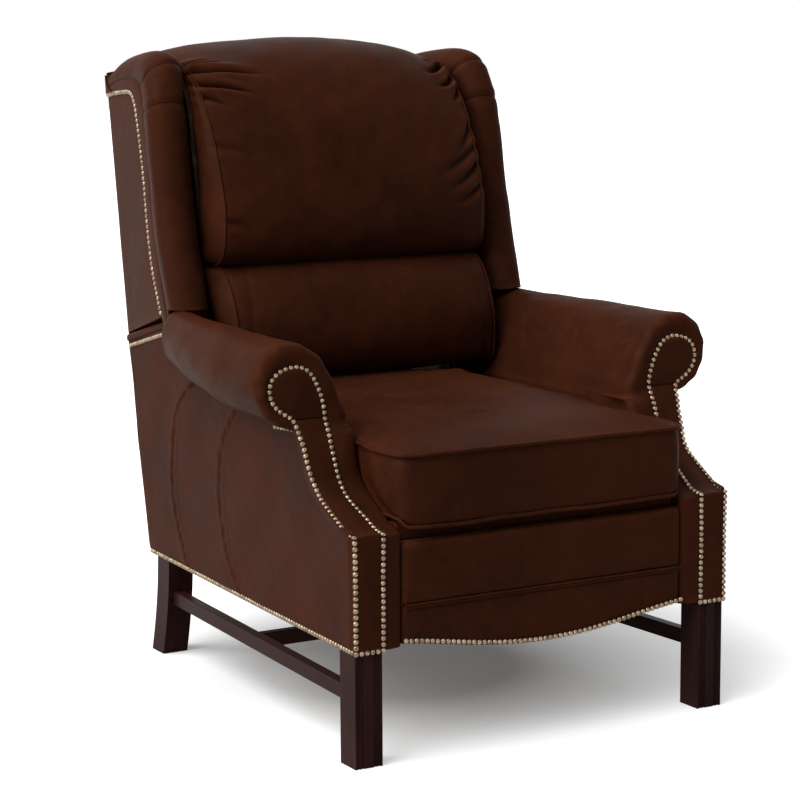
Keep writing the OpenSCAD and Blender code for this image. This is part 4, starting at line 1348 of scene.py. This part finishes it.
@dataclass
class Deck:
    """The upholstered deck under the cushion, with its rounded front border."""

    half: float = 262.0
    border_y: float = 34.0
    border_z: float = 357.7
    border_deep: float = 9.0
    border_high: float = 16.7
    sheet_z: float = 375.9

    def build(self, kit: Finishes) -> None:
        """Builds the border as a superellipse carried across the seat, and the deck's thin sheet.

        Args:
            kit: The finishes.
        """
        loop = superellipse(28, 4)
        x = np.linspace(-self.half, self.half, 40)[:, None]
        section = (x, self.border_y + loop[:, 0] * self.border_deep, self.border_z + loop[:, 1] * self.border_high)
        border = ringed("deck_border", np.stack(np.broadcast_arrays(*section), -1))
        u, v = np.meshgrid(np.linspace(-255, 255, 30), np.linspace(36.5, 655, 36), indexing="ij")
        top = np.stack([u, v, self.sheet_z + 0 * u], -1)
        sheet = slab("deck_sheet", top, top - [0, 0, 2.2], 50)
        upholster(join("seat_deck_cover", [border, sheet]), kit, "seat", ("seat_deck",))


@dataclass
class Footrest:
    """The footrest's padded face, its double welt, the shaped apron and the apron's nails."""

    half: float = 264.5
    top: float = 347.5
    welt: float = 247.0
    low: float = 187.0
    dip: float = 30.0
    rim: float = 8.0
    board: float = 12.3

    CURVE = ((0, 1), (0.15, 0.965), (0.3, 0.87), (0.5, 0.65), (0.7, 0.37), (0.85, 0.17), (1, 0))

    def bottom(self, x: Array) -> Array:
        """The height of the apron's shaped bottom edge."""
        shares = spline(self.CURVE, 60)
        return self.low - self.dip * np.interp(np.abs(x) / self.half, shares[:, 0], shares[:, 1])

    def face(self, name: str, x: Array, z: Array, crown: float, seed: int) -> Piece:
        """A padded face: its depth falls off to the edges as a superellipse, with soft dimples.

        Args:
            name: The piece's name.
            x: Places across.
            z: Heights.
            crown: How far it stands out in front of depth 0.
            seed: Seed of its dimples.

        Returns:
            The new piece.
        """
        u = np.linspace(-1, 1, x.shape[0])[:, None]
        v = np.linspace(-1, 1, x.shape[1])[None]
        edge = (1 - np.abs(u) ** 26) ** 0.4 * (1 - np.abs(v) ** 10) ** 0.4
        place = np.stack([x, 0 * x, z], -1)
        y = self.rim - (self.rim + crown) * edge
        y = y - ripple(place, 150, seed) * 1.0 * edge - ripple(place, 50, seed + 1) * 0.3 * edge
        return slab(name, np.stack([x, y, z], -1), np.stack([x, 0 * x + self.board, z], -1))

    def build(self, kit: Finishes) -> None:
        """Builds the pad, the apron, the welts and the nails.

        Args:
            kit: The finishes.
        """
        x = np.linspace(-self.half, self.half, 150)[:, None] + np.zeros((1, 44))
        share = np.linspace(0, 1, x.shape[1])[None]
        z = self.welt + 1 + (self.top - self.welt - 1) * share + 0 * x
        upholster(self.face("footrest_face", x, z, 4.0, 61), kit, "footrest", ("footrest_pad",))
        low = self.bottom(x)
        z = low + (self.welt - 1 - low) * share
        upholster(self.face("apron_cover", x, z, 1.5, 65), kit, "footrest", ("footrest_apron",))
        run = np.linspace(-self.half + 2, self.half - 2, 90)
        for name, z0, radius in (("upper", self.welt + 1.6, 2.2), ("lower", self.welt - 2.4, 1.7)):
            path = np.stack([run, np.full(90, -3.0), np.full(90, z0)], 1)
            dress(ringed(f"footrest_welt_{name}", tube_rings(path, radius, [0, 0, 1])), kit.welt, "footrest")
        places = even(np.stack([run, 0 * run - 4.2, self.bottom(run) + 7], 1), step=NAIL_PITCH)
        nails = nail_heads("apron_nails", places, np.broadcast_to([0.0, -1.0, 0.0], places.shape))
        dress(nails, kit.brass, "footrest")


# ---- back


@dataclass
class SeamedCushion:
    """A cushion with a front face sewn to a narrow side strip along a welted seam on each side.

    Each row of it is a ring: the front from seam to seam, bellied out in the middle, the side strip back to
    the rim, and the back. The tables are (depth, height) lines from the foot up and over the top, and half
    widths at even steps along them.
    """

    name: str
    nodes: tuple
    middle: tuple
    seam: tuple
    rim: tuple
    rear: tuple
    seam_x: tuple
    rim_x: tuple
    rear_x: float
    cap: float
    rows: int = 130

    FRONT_POINTS = 91
    BACK_POINTS = 18

    def line(self, table: tuple) -> Array:
        """A line of the tables as evenly spaced rows."""
        return even(spline(table, 500), self.rows)

    def width(self, table: tuple) -> Array:
        """The half width at each row."""
        return np.interp(np.linspace(0, 1, self.rows), np.linspace(0, 1, len(table)), table)

    def rings(self) -> Array:
        """The rings: a sine spreads the front's points, and a superellipse of it gives the belly.

        Returns:
            The grid of points.
        """
        middle, seam, rim, rear = (self.line(table) for table in (self.middle, self.seam, self.rim, self.rear))
        seam_x, rim_x = self.width(self.seam_x), self.width(self.rim_x)
        s = np.sin(np.linspace(-pi / 2, pi / 2, self.FRONT_POINTS))
        full = (1 - np.abs(s) ** 2.4) ** 0.8
        front = np.concatenate([
            (s[None] * seam_x[:, None])[..., None],
            seam[:, None] + (middle - seam)[:, None] * full[None, :, None]
        ], -1)
        w = np.linspace(0, 1, 9)[1:, None]
        strips = []
        for sign in (1, -1):
            a = np.column_stack([sign * seam_x, seam])[:, None]
            b = np.column_stack([sign * rim_x, rim])[:, None]
            c = np.column_stack([np.full(self.rows, sign * self.rear_x), rear])[:, None]
            out = np.array([sign * 3.5, 0, 0]) * np.sin(pi * w)
            strips.append(np.concatenate([a + (b - a) * w + out, b + (c - b) * w[::2]], 1))
        t = np.linspace(1, -1, self.BACK_POINTS + 2)[1:-1]
        back = np.concatenate([
            np.broadcast_to((t * self.rear_x)[None, :, None], (self.rows, self.BACK_POINTS, 1)),
            np.broadcast_to(rear[:, None], (self.rows, self.BACK_POINTS, 2))
        ], -1)
        return np.concatenate([front, strips[0], back, strips[1][:, ::-1]], 1)

    def work(self, place: Array, normal: Array) -> Array:
        """Moves the points by the cushion's creases; a plain cushion has none."""
        return place

    def build(self, kit: Finishes) -> None:
        """Builds the cushion, puffs it up, works its leather and lays a welt in each seam.

        Args:
            kit: The finishes.
        """
        rings = self.rings()
        piece = ringed(self.name, rings)
        columns = {Side.LEFT: 0, Side.RIGHT: self.FRONT_POINTS - 1}
        seams = np.concatenate([rings[:, column] for column in columns.values()])
        Puff(cap=self.cap, hold=0.007).fill(piece, metres(seams))
        subdivide(piece)
        reshape(piece, self.work)
        upholster(piece, kit, "back", self.nodes)
        for side, column in columns.items():
            path = even(rings[:, column], 200)[4:-2]
            path = self.work(path, np.broadcast_to([side.value * 0.7, -0.7, 0.0], path.shape))
            path = path + np.array([side.value * 0.6, -1.2, 0.0])
            welt = ringed(f"{self.name}_seam_{side.word}", tube_rings(path, 1.7, [1, 0, 0]))
            dress(welt, kit.welt, "back")


@dataclass
class HeadPillow(SeamedCushion):
    """The head pillow, whose leather goes on over the crown, gathered at both upper corners.

    A pleat or a crease is its start and end (x, height), its width and its depth.
    """

    name: str = "head_pillow_cover"
    nodes: tuple = ("head_pillow", "crown_pad")
    middle: tuple = (
        (735, 729), (690, 722), (645, 718), (614, 725), (597, 744), (589, 776), (588, 815), (595, 860), (609, 905),
        (628, 955), (654, 1005), (688, 1050), (733, 1084), (790, 1105), (850, 1112), (910, 1110), (970, 1096),
        (1020, 1073)
    )
    seam: tuple = (
        (735, 733), (690, 727), (650, 723), (631, 729), (615, 744), (608, 768), (606, 800), (609, 832), (628, 895),
        (645, 935), (662, 967), (684, 1001), (709, 1032), (745, 1055), (790, 1068), (850, 1078), (910, 1082),
        (970, 1072), (1020, 1052)
    )
    rim: tuple = (
        (737, 735), (700, 731), (672, 729), (660, 734), (657, 748), (660, 775), (666, 810), (674, 860), (684, 910),
        (694, 955), (704, 990), (722, 1024), (750, 1045), (800, 1060), (850, 1070), (910, 1076), (970, 1068),
        (1020, 1048)
    )
    rear: tuple = ((739, 737), (752, 860), (772, 985), (786, 1046), (840, 1051), (930, 1049), (1018, 1045))
    seam_x: tuple = (258, 262, 262, 262, 262, 262, 262, 261, 262, 264)
    rim_x: tuple = (262, 280, 284, 284, 284, 284, 280, 272, 270, 268)
    rear_x: float = 252.0
    cap: float = 0.010
    face_half: float = 262.0
    most_z: float = 1120.0

    PLEATS = (
        (-271, 1073, -205, 1088, 4.5, 5.0), (-268, 1066, -198, 1073, 4.0, 5.5), (-262, 1053, -128, 1050, 4.2, 7.0),
        (-262, 1032, -155, 1016, 4.5, 6.0), (-262, 1012, -214, 990, 5.0, 3.0), (262, 1073, 214, 1081, 3.6, 5.0),
        (264, 1066, 195, 1052, 4.2, 7.0), (263, 1040, 214, 1027, 4.6, 6.0), (262, 1016, 232, 998, 5.0, 3.0)
    )
    CREASES = (
        (262, 950, 196, 892, 9.0, 4.0), (262, 915, 158, 868, 8.0, 3.8), (261, 884, 176, 838, 7.0, 3.4),
        (260, 845, 190, 815, 7.0, 3.0), (-261, 800, -205, 776, 8.0, 1.8), (-262, 930, -170, 905, 9.0, 1.4)
    )

    def work(self, place: Array, normal: Array) -> Array:
        """Folds from the seams into the front: a dip along each line, between two low swells.

        Args:
            place: Points of the pillow.
            normal: Their normals.

        Returns:
            The moved points.
        """
        x, y, z = place.T
        over = z + 0.5 * np.clip(y - 740, 0, 60)
        front = ease((0.35 - normal[:, 1]) / 0.5)
        lump = ripple(place, 210, 71) * 2.0 + ripple(place, 80, 72) * 0.8
        for x0, z0, x1, z1, width, depth in self.PLEATS + self.CREASES:
            way = np.array([x1 - x0, z1 - z0], float)
            size = np.hypot(*way)
            along = ((x - x0) * way[0] + (over - z0) * way[1]) / size
            bow = 5 * np.sin(np.clip(along / size, 0, 1) * pi)
            aside = ((x - x0) * -way[1] + (over - z0) * way[0]) / size - bow
            fade = ease((along + 14) / 14) * (1 - ease((along / size - 0.25) / 0.8))
            ridge = bell(np.abs(aside) - 1.9 * width, 1.3 * width)
            lump = lump + 1.5 * depth * fade * (0.5 * ridge - bell(aside, 0.85 * width))
        inside = np.abs(x) < self.face_half
        place = place + normal * (lump * front * np.where(inside, 1.0, 0.4))[:, None]
        place[:, 2] = np.minimum(place[:, 2], self.most_z)
        return place


@dataclass
class Lumbar(SeamedCushion):
    """The lumbar cushion between the head pillow and the seat."""

    name: str = "lumbar_cushion_cover"
    nodes: tuple = ("lumbar_cushion",)
    middle: tuple = (
        (670, 523), (620, 522), (585, 524), (561, 535), (549, 556), (545, 590), (547, 625), (557, 662), (577, 696),
        (602, 716), (640, 723), (700, 722)
    )
    seam: tuple = (
        (670, 525), (630, 524), (596, 525), (577, 532), (569, 549), (567, 580), (568, 610), (575, 643), (591, 677),
        (614, 704), (645, 719), (700, 720)
    )
    rim: tuple = (
        (670, 527), (650, 527), (630, 529), (618, 538), (613, 560), (613, 590), (615, 615), (622, 645), (634, 672),
        (650, 698), (668, 714), (702, 716)
    )
    rear: tuple = ((680, 528), (690, 600), (702, 660), (712, 714))
    seam_x: tuple = (254, 258, 259, 259, 259, 259, 259, 258)
    rim_x: tuple = (258, 263, 264, 268, 277, 282, 282, 276)
    rear_x: float = 250.0
    cap: float = 0.009
    least_z: float = 522.0

    def work(self, place: Array, normal: Array) -> Array:
        """Soft dimples, and two upright creases by the seams; the foot stays over the seat.

        Args:
            place: Points of the cushion.
            normal: Their normals.

        Returns:
            The moved points.
        """
        lump = ripple(place, 180, 81) * 2.0 + ripple(place, 70, 82) * 0.7
        lump = lump - 1.2 * bell(np.abs(place[:, 0]) - 236 + 0.1 * (place[:, 2] - 600), 7)
        place = place + normal * (lump * ease((0.35 - normal[:, 1]) / 0.5))[:, None]
        place[:, 2] = np.maximum(place[:, 2], self.least_z)
        return place


@dataclass
class Wing(SidePart):
    """One wing: the roll along its front and top, its inside, and the nailed outside panel.

    Each of the ROWS goes across the roll, from the foot up and over the top, and holds three places (depth,
    height): the roll's front, where it meets the sides, and the nails. BULGES is how far the roll stands out
    at each, TUCK how far the inside runs back from the roll, and SEAM_ROWS the rows with a sewn line.
    """

    inner: float = 286.0
    behind: float = 254.0
    crease: float = 0.44
    flare: float = radians(8.5)
    top_half: float = 297.0
    rise: float = 462.0

    COUNT = 140
    ROWS = (
        ((603, 652), (640, 651), (708, 632)), ((617, 700), (654, 700), (749, 700)),
        ((630, 736), (667, 736), (765, 736)), ((640, 772), (677, 772), (775, 772)),
        ((649, 809), (686, 809), (782, 809)), ((659, 855), (696, 855), (790, 855)),
        ((668, 902), (705, 902), (801, 902)), ((677, 953), (713, 949), (815, 948)),
        ((688, 1005), (722, 992), (825, 975)), ((697, 1035), (731, 1014), (833, 994)),
        ((712, 1064), (744, 1034), (845, 1009)), ((734, 1083), (760, 1050), (864, 1018)),
        ((762, 1090), (780, 1058), (884, 1019)), ((800, 1091), (812, 1062), (905, 1018)),
        ((850, 1088), (858, 1062), (932, 1017)), ((900, 1081), (905, 1058), (958, 1015)),
        ((950, 1069), (952, 1050), (984, 1013)), ((992, 1056), (993, 1042), (1004, 1011)),
        ((1029, 1044), (1028, 1036), (1022, 1010))
    )
    BULGES = (6, 9, 11, 12, 13, 13, 13, 13, 12, 10, 8, 6, 5, 3, 3, 2, 2, 1, 0)
    TUCK = np.array([260.0, 190, 130, 90, 62, 48, 36, 24, 12, 3])
    SEAM_ROWS = (62, 80)

    def reach(self, p: Array) -> Array:
        """How far out the wing's outside plane lies: it leans in with the height and with the depth.

        Args:
            p: Points (depth, height).

        Returns:
            The plane's x at each.
        """
        foot_half = CHAIR.out_x(CHAIR.foot_y)
        tilt = (self.top_half - foot_half + self.rise * sin(CHAIR.lean) * tan(self.flare)) / (
            self.rise * cos(CHAIR.lean)
        )
        return foot_half + (CHAIR.foot_y - p[..., 0]) * tan(self.flare) + (p[..., 1] - CHAIR.foot_z) * tilt

    def skin(self, rows: Array) -> Array:
        """The roll between its inside and its outside.

        Round the roll, depth and height go as one minus the sine and x as the cosine of the angle. Behind
        it, the outside falls back to a crease and goes on as a flat strip to the nails.

        Args:
            rows: The places of the rows.

        Returns:
            The grid of points, from the inside's rear to the nails.
        """
        bulge = spline(np.array(self.BULGES, float)[:, None], self.COUNT)[:, 0]
        up = np.linspace(0, len(self.ROWS) - 1, self.COUNT)
        inner = self.inner - 16 * ease((up - 8) / 4)
        a = np.radians(np.linspace(0, 180, 34))
        p = rows[:, None, 1] + (rows[:, 0] - rows[:, 1])[:, None] * np.sin(a)[None, :, None]
        outer = self.reach(p) + bulge[:, None] * np.sin(a / 2)[None]
        x = inner[:, None] + (outer - inner[:, None]) * ((1 - np.cos(a)) / 2)[None]
        round_part = np.concatenate([x[..., None], p], -1)
        w = np.linspace(0, 1, 27)[1:]
        q = rows[:, None, 1] + (rows[:, 2] - rows[:, 1])[:, None] * w[None, :, None]
        fall = np.clip(1 - (w / self.crease) ** 2, 0, 1) ** 0.7
        strip = np.where(w > self.crease, np.sin(pi * (w - self.crease) / (1 - self.crease)), 0) * 2.0
        gain = np.clip(bulge / 6, 0, 1)[:, None]
        rim = bulge[:, None] * fall[None] + (strip - 3.2 * bell(w - self.crease, 0.045))[None] * gain
        side_part = np.concatenate([(self.reach(q) + rim)[..., None], q], -1)
        way = rows[:, 1] - rows[:, 0]
        way = way / np.linalg.norm(way, axis=1, keepdims=True)
        length = self.TUCK[None] * (1 - 0.8 * ease((up - 6) / 4))[:, None]
        r = rows[:, None, 1] + way[:, None] * length[..., None]
        deep = np.minimum(r[..., 0], CHAIR.foot_y + (r[..., 1] - 610) * tan(CHAIR.lean) - 14)
        across = inner[:, None] - (inner[:, None] - self.behind) * ease((length - 4) / 42)
        inside = np.stack([across, deep, r[..., 1]], -1)
        return np.concatenate([inside, round_part, side_part], 1)

    def build(self, kit: Finishes) -> None:
        """Builds the roll with the inside, closed at its foot by rows that draw in and hang down a little.

        Args:
            kit: The finishes.
        """
        rows = spline(self.ROWS, self.COUNT)
        skin = self.work(self.skin(rows))
        foot = skin[0].mean(0) * [1, 1, 0] + [0, 0, 655]
        caps = np.stack([skin[0] + (foot - skin[0]) * share for share in (0.96, 0.7, 0.45, 0.25, 0.12)])
        caps[..., 2] -= 25 * ease((caps[..., 1] - 645) / 14)
        whole = np.concatenate([caps, skin])
        normal = grid_normals(whole)
        out = np.sign(normal[60, len(self.TUCK) + 32, 0])
        piece = self.plate("wing_roll", whole, whole - normal * 4 * out)
        upholster(piece, kit, "back", (self.named("wing_pad"),))
        self.build_panel(kit, rows)
        self.build_seams(kit, skin)

    def work(self, skin: Array) -> Array:
        """Adds the unevenness of pulled leather and the two sewn lines across the top of the roll.

        Args:
            skin: The grid of points.

        Returns:
            The moved grid.
        """
        normal = grid_normals(skin)
        out = np.sign(normal[60, 40, 0])
        lump = ripple(skin, 170, 91) * 0.9 + ripple(skin, 55, 92) * 0.3
        rolled = 1 - ease((np.arange(skin.shape[1])[None] - 50) / 5)
        for row in self.SEAM_ROWS:
            d = np.arange(skin.shape[0])[:, None] - row
            lump = lump + (0.9 * bell(np.abs(d) - 3, 1.8) - 1.8 * bell(d, 0.8)) * rolled
        return skin + normal * (lump * out)[..., None]

    def build_seams(self, kit: Finishes, skin: Array) -> None:
        """A fine dark line of painted shade in each of the two sewn seams across the roll.

        Args:
            kit: The finishes.
            skin: The grid of the roll, without its foot.
        """
        start = len(self.TUCK)
        for word, row in zip(("low", "high"), self.SEAM_ROWS):
            path = even(skin[row, start + 2 : start + 39], 60)
            rings = tube_rings(path, 0.8, [0.2, 0.5, 1.0], 6)
            # painted shade: the dark line stands for the shade in the seam's groove
            dress(ringed(self.named(f"wing_seam_{word}"), self.turned(rings)), kit.stitch, "back")

    def build_panel(self, kit: Finishes, rows: Array) -> None:
        """The outside of the wing, ruled from the nails to the back edge, and the nails themselves.

        Args:
            kit: The finishes.
            rows: The places of the rows.
        """
        line = rows[:, 2]
        share = np.linspace(0, 1, len(line))
        rear_z = np.interp(share, [0, 0.25, 0.62, 1], [577, 800, 990, 1046])
        rear = np.stack([CHAIR.foot_y + (rear_z - CHAIR.foot_z) * tan(CHAIR.lean) - 3.5, rear_z], 1)
        w = np.linspace(0, 1, 30)
        q = line[:, None] + (rear - line)[:, None] * w[None, :, None]
        lump = ripple(np.concatenate([q[..., :1] * 0, q], -1), 160, 95) * 0.5
        x = self.reach(q) - 1.5 - 2 * bell(w, 0.06)[None] + lump
        top = np.concatenate([x[..., None], q], -1)
        turned = [top[0] + np.array([-way, 0.0, 0.02 * way]) for way in (62, 40, 20, 8, 2)]
        top = np.concatenate([np.stack(turned), top])
        normal = grid_normals(top)
        piece = self.plate("wing_outside", top, top - normal * 3.5 * np.sign(normal[60, 10, 0]))
        upholster(piece, kit, "back", (self.named("wing_panel"),))
        path = line[(line[:, 1] > 637) & (line[:, 0] < 1014)]
        path = even(np.concatenate([self.reach(path)[:, None] + 0.4, path], 1), step=NAIL_PITCH)
        outward = np.broadcast_to([0.987, 0.15, -0.04], path.shape)
        outward = outward / np.linalg.norm(outward, axis=1, keepdims=True)
        self.nails("wing_nails", path, outward, kit, "back")


@dataclass(frozen=True)
class BackPanel:
    """A leaning padded panel at the back, whose rear face is raised a little between its edges.

    foot is the depth and height of its lower rear edge, low and high are its half widths at the bottom and
    the top, height is measured along the slope at its sides, and arch is how far its top rises in the middle.
    """

    name: str
    node: str
    body: str
    foot: tuple
    lean: float
    height: float
    low: float
    high: float
    arch: float
    seed: int
    thick: float = 10.0

    def build(self, kit: Finishes) -> None:
        """Builds the panel: a product of two superellipses raises it.

        Args:
            kit: The finishes.
        """
        u = np.linspace(-1, 1, 70)[:, None]
        v = np.linspace(0, 1, 60)[None]
        up = v * (self.height + self.arch * (1 - u**2))
        x = u * (self.low + (self.high - self.low) * v) + 0 * up
        rise = (1 - np.abs(u) ** 12) ** 0.4 * (1 - np.abs(2 * v - 1) ** 14) ** 0.4
        out = -3 + 5 * rise + ripple(np.stack([x, 0 * up, up], -1), 160, self.seed) * 1.2 * rise
        faces = []
        for lift in (out, -self.thick):
            y = self.foot[0] + up * sin(self.lean) + lift * cos(self.lean)
            faces.append(np.stack([x, y, self.foot[1] + up * cos(self.lean) - lift * sin(self.lean)], -1))
        upholster(slab(self.name, *faces), kit, self.body, (self.node,))


@dataclass(frozen=True)
class Rear:
    """The two outside panels at the back: the fixed lower one, and the arched one on the back unit."""

    def build(self, kit: Finishes) -> None:
        """Builds both panels.

        Args:
            kit: The finishes.
        """
        low_y = CHAIR.rear(CHAIR.skirt)
        BackPanel(
            "lower_back_cover", "lower_back_panel", "base", (low_y, CHAIR.skirt), CHAIR.side_lean, 408,
            CHAIR.out_x(low_y) - 0.5, CHAIR.out_x(943) - 0.5, 0, 101
        ).build(kit)
        BackPanel(
            "outside_back_cover", "outside_back", "back", (941.5, 588), CHAIR.lean, 470,
            CHAIR.out_x(CHAIR.foot_y) - 1, 296, 25, 105
        ).build(kit)


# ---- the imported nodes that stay


class Woodwork:
    """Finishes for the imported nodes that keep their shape."""

    BEVELLED = ("leg", "stretcher")

    def finish_of(self, name: str, slot: str, kit: Finishes) -> bpy.types.Material:
        """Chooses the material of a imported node.

        Args:
            name: The node's name.
            slot: Its slot in the record.
            kit: The finishes.

        Returns:
            The material.
        """
        if slot == "mahogany":
            if name.startswith("side_stretcher"):
                return kit.rail_wood
            return kit.cross_wood if name.startswith("cross") else kit.mahogany
        return {"beech": kit.beech, "steel": kit.steel, "nylon": kit.nylon, "jute": kit.jute}.get(slot, kit.leather)

    def build(self, kit: Finishes) -> None:
        """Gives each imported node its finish, and eases the edges of the legs and stretchers.

        Args:
            kit: The finishes.
        """
        slots = {row["node"]: row["material_slot"] for row in frame["record"]["subparts"]}
        for name, node in frame["nodes"].items():
            material = self.finish_of(name, slots[name], kit)
            for spot in node.material_slots:
                spot.material = material
            if any(word in name for word in self.BEVELLED):
                weld = node.modifiers.new("weld", "WELD")
                weld.merge_threshold = 0.00002
                bevel = node.modifiers.new("eased", "BEVEL")
                bevel.width, bevel.segments, bevel.limit_method = 0.0011, 2, "ANGLE"
                bevel.angle_limit = radians(40)
            log.info("%s keeps its shape in %s", name, material.name)


# ---- studio


@dataclass
class Studio:
    """Floor, lamp, world and camera; lengths are in metres."""

    azimuth: float = radians(-30.1585)
    elevation: float = radians(8.7276)
    roll: float = radians(-0.3112)
    place: tuple = (-2.07127, -3.61574, 1.12056)
    lens: float = 107.583
    floor_half: float = 30.0
    floor_z: float = -0.0004
    world_light: float = 0.18
    key_from: tuple = (-0.71, -0.05, 0.70)
    key_power: float = 3.95
    key_spread: float = radians(62)

    def build_camera(self) -> None:
        """The camera, from its three axes: to the right, up and back."""
        flat = cos(self.elevation)
        back = np.array([sin(self.azimuth) * flat, -cos(self.azimuth) * flat, sin(self.elevation)])
        right = np.array([cos(self.azimuth), sin(self.azimuth), 0])
        up = np.cross(back, right)
        rolled_right = cos(self.roll) * right + sin(self.roll) * up
        rolled_up = cos(self.roll) * up - sin(self.roll) * right
        data = bpy.data.cameras.new("camera")
        data.lens, data.sensor_width, data.clip_end = self.lens, 36.0, 60.0
        camera = bpy.data.objects.new("camera", data)
        rows = [[*axes, at] for axes, at in zip(np.stack([rolled_right, rolled_up, back], 1).tolist(), self.place)]
        camera.matrix_world = Matrix(rows + [[0, 0, 0, 1]])
        bpy.context.scene.collection.objects.link(camera)
        bpy.context.scene.camera = camera

    def floor_finish(self) -> bpy.types.Material:
        """A pale floor that keeps the shadow; seen directly, it gets the backdrop's white as well, from a glow that
        grows away from the chair, so that a painted shadow darkens the floor under it.

        Returns:
            The material.
        """
        n = Nodes("pale_floor")
        n.put(n.shader, "Roughness", 0.9)
        n.put(n.shader, "Specular IOR Level", 0.0)
        rays = n.add("ShaderNodeLightPath")
        seen = n.math("MAXIMUM", rays.outputs["Is Camera Ray"], rays.outputs["Is Glossy Ray"])
        pale = n.ramp(n.noise(3, 2), [(0.3, 0.80), (0.7, 0.82)])
        n.put(n.shader, "Base Color", n.mix(rays.outputs["Is Camera Ray"], (0.45, 0.45, 0.45), pale))
        near = n.add("ShaderNodeTexGradient", gradient_type="SPHERICAL", Vector=n.stretched((1.15, 1.15, 1.15)))
        # painted shadow: the glow is 0.08 under the chair and 0.8 away from it, so the floor seen there is darker
        # than its light makes it
        soft = n.ramp(near.outputs[1], [(0.0, 0.80), (0.32, 0.52), (0.74, 0.08)])
        painted_shadow_glow = n.add("ShaderNodeEmission", Strength=n.math("MULTIPLY", seen, soft))
        both = n.add("ShaderNodeAddShader")
        n.tree.links.new(n.shader.outputs[0], both.inputs[0])
        n.tree.links.new(painted_shadow_glow.outputs[0], both.inputs[1])
        out = next(x for x in n.tree.nodes if x.type == "OUTPUT_MATERIAL")
        n.tree.links.new(both.outputs[0], out.inputs[0])
        return n.material

    def build_floor(self) -> None:
        """A wide flat grid under the chair."""
        count = 7
        line = np.linspace(-self.floor_half, self.floor_half, count)
        u, v = np.meshgrid(line, line, indexing="ij")
        mesh = bpy.data.meshes.new("floor")
        places = np.stack([u, v, 0 * u + self.floor_z], -1).reshape(-1, 3)
        mesh.from_pydata(places.tolist(), [], grid_quads(count, count).tolist())
        mesh.materials.append(self.floor_finish())
        floor = bpy.data.objects.new("floor", mesh)
        bpy.context.scene.collection.objects.link(floor)

    def build_world(self) -> None:
        """White where the camera, gloss or glass sees it, and a softer white as light."""
        world = bpy.data.worlds.new("studio")
        bpy.context.scene.world = world
        world.use_nodes = True
        tree = world.node_tree
        tree.nodes.clear()
        rays = tree.nodes.new("ShaderNodeLightPath")
        seen = rays.outputs["Is Camera Ray"]
        for kind in ("Is Glossy Ray", "Is Transmission Ray"):
            node = tree.nodes.new("ShaderNodeMath")
            node.operation = "MAXIMUM"
            tree.links.new(seen, node.inputs[0])
            tree.links.new(rays.outputs[kind], node.inputs[1])
            seen = node.outputs[0]
        white, soft = tree.nodes.new("ShaderNodeBackground"), tree.nodes.new("ShaderNodeBackground")
        white.inputs[0].default_value, white.inputs[1].default_value = (1, 1, 1, 1), 1.0
        soft.inputs[0].default_value, soft.inputs[1].default_value = (1.0, 0.99, 0.98, 1), self.world_light
        mix, out = tree.nodes.new("ShaderNodeMixShader"), tree.nodes.new("ShaderNodeOutputWorld")
        tree.links.new(seen, mix.inputs[0])
        tree.links.new(soft.outputs[0], mix.inputs[1])
        tree.links.new(white.outputs[0], mix.inputs[2])
        tree.links.new(mix.outputs[0], out.inputs[0])

    def build_lamp(self) -> None:
        """The key lamp: a distant, very soft one, turned so that it shines from its direction."""
        data = bpy.data.lights.new("key", "SUN")
        data.energy, data.angle = self.key_power, self.key_spread
        lamp = bpy.data.objects.new("key", data)
        back = np.array(self.key_from, float)
        back /= np.linalg.norm(back)
        right = np.cross([0, 0, 1], back)
        right /= np.linalg.norm(right)
        rows = np.stack([right, np.cross(back, right), back], 1).tolist()
        lamp.matrix_world = Matrix([[*row, spot] for row, spot in zip(rows, (back * 6).tolist())] + [[0, 0, 0, 1]])
        bpy.context.scene.collection.objects.link(lamp)

    def build(self) -> None:
        """Builds the studio."""
        self.build_camera()
        self.build_floor()
        self.build_world()
        self.build_lamp()
        bpy.context.scene.view_settings.view_transform = "Standard"


def main() -> None:
    """Builds everything in order."""
    logging.basicConfig(level=logging.INFO, format="%(message)s")
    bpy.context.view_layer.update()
    Studio().build()
    kit = Finishes()
    Woodwork().build(kit)
    arms, wings = [Arm(side) for side in Side], [Wing(side) for side in Side]
    for part in (*arms, SeatCushion(), Deck(), Footrest(), Lumbar(), HeadPillow(), *wings, Rear()):
        part.build(kit)


if __name__ == "__main__":
    main()
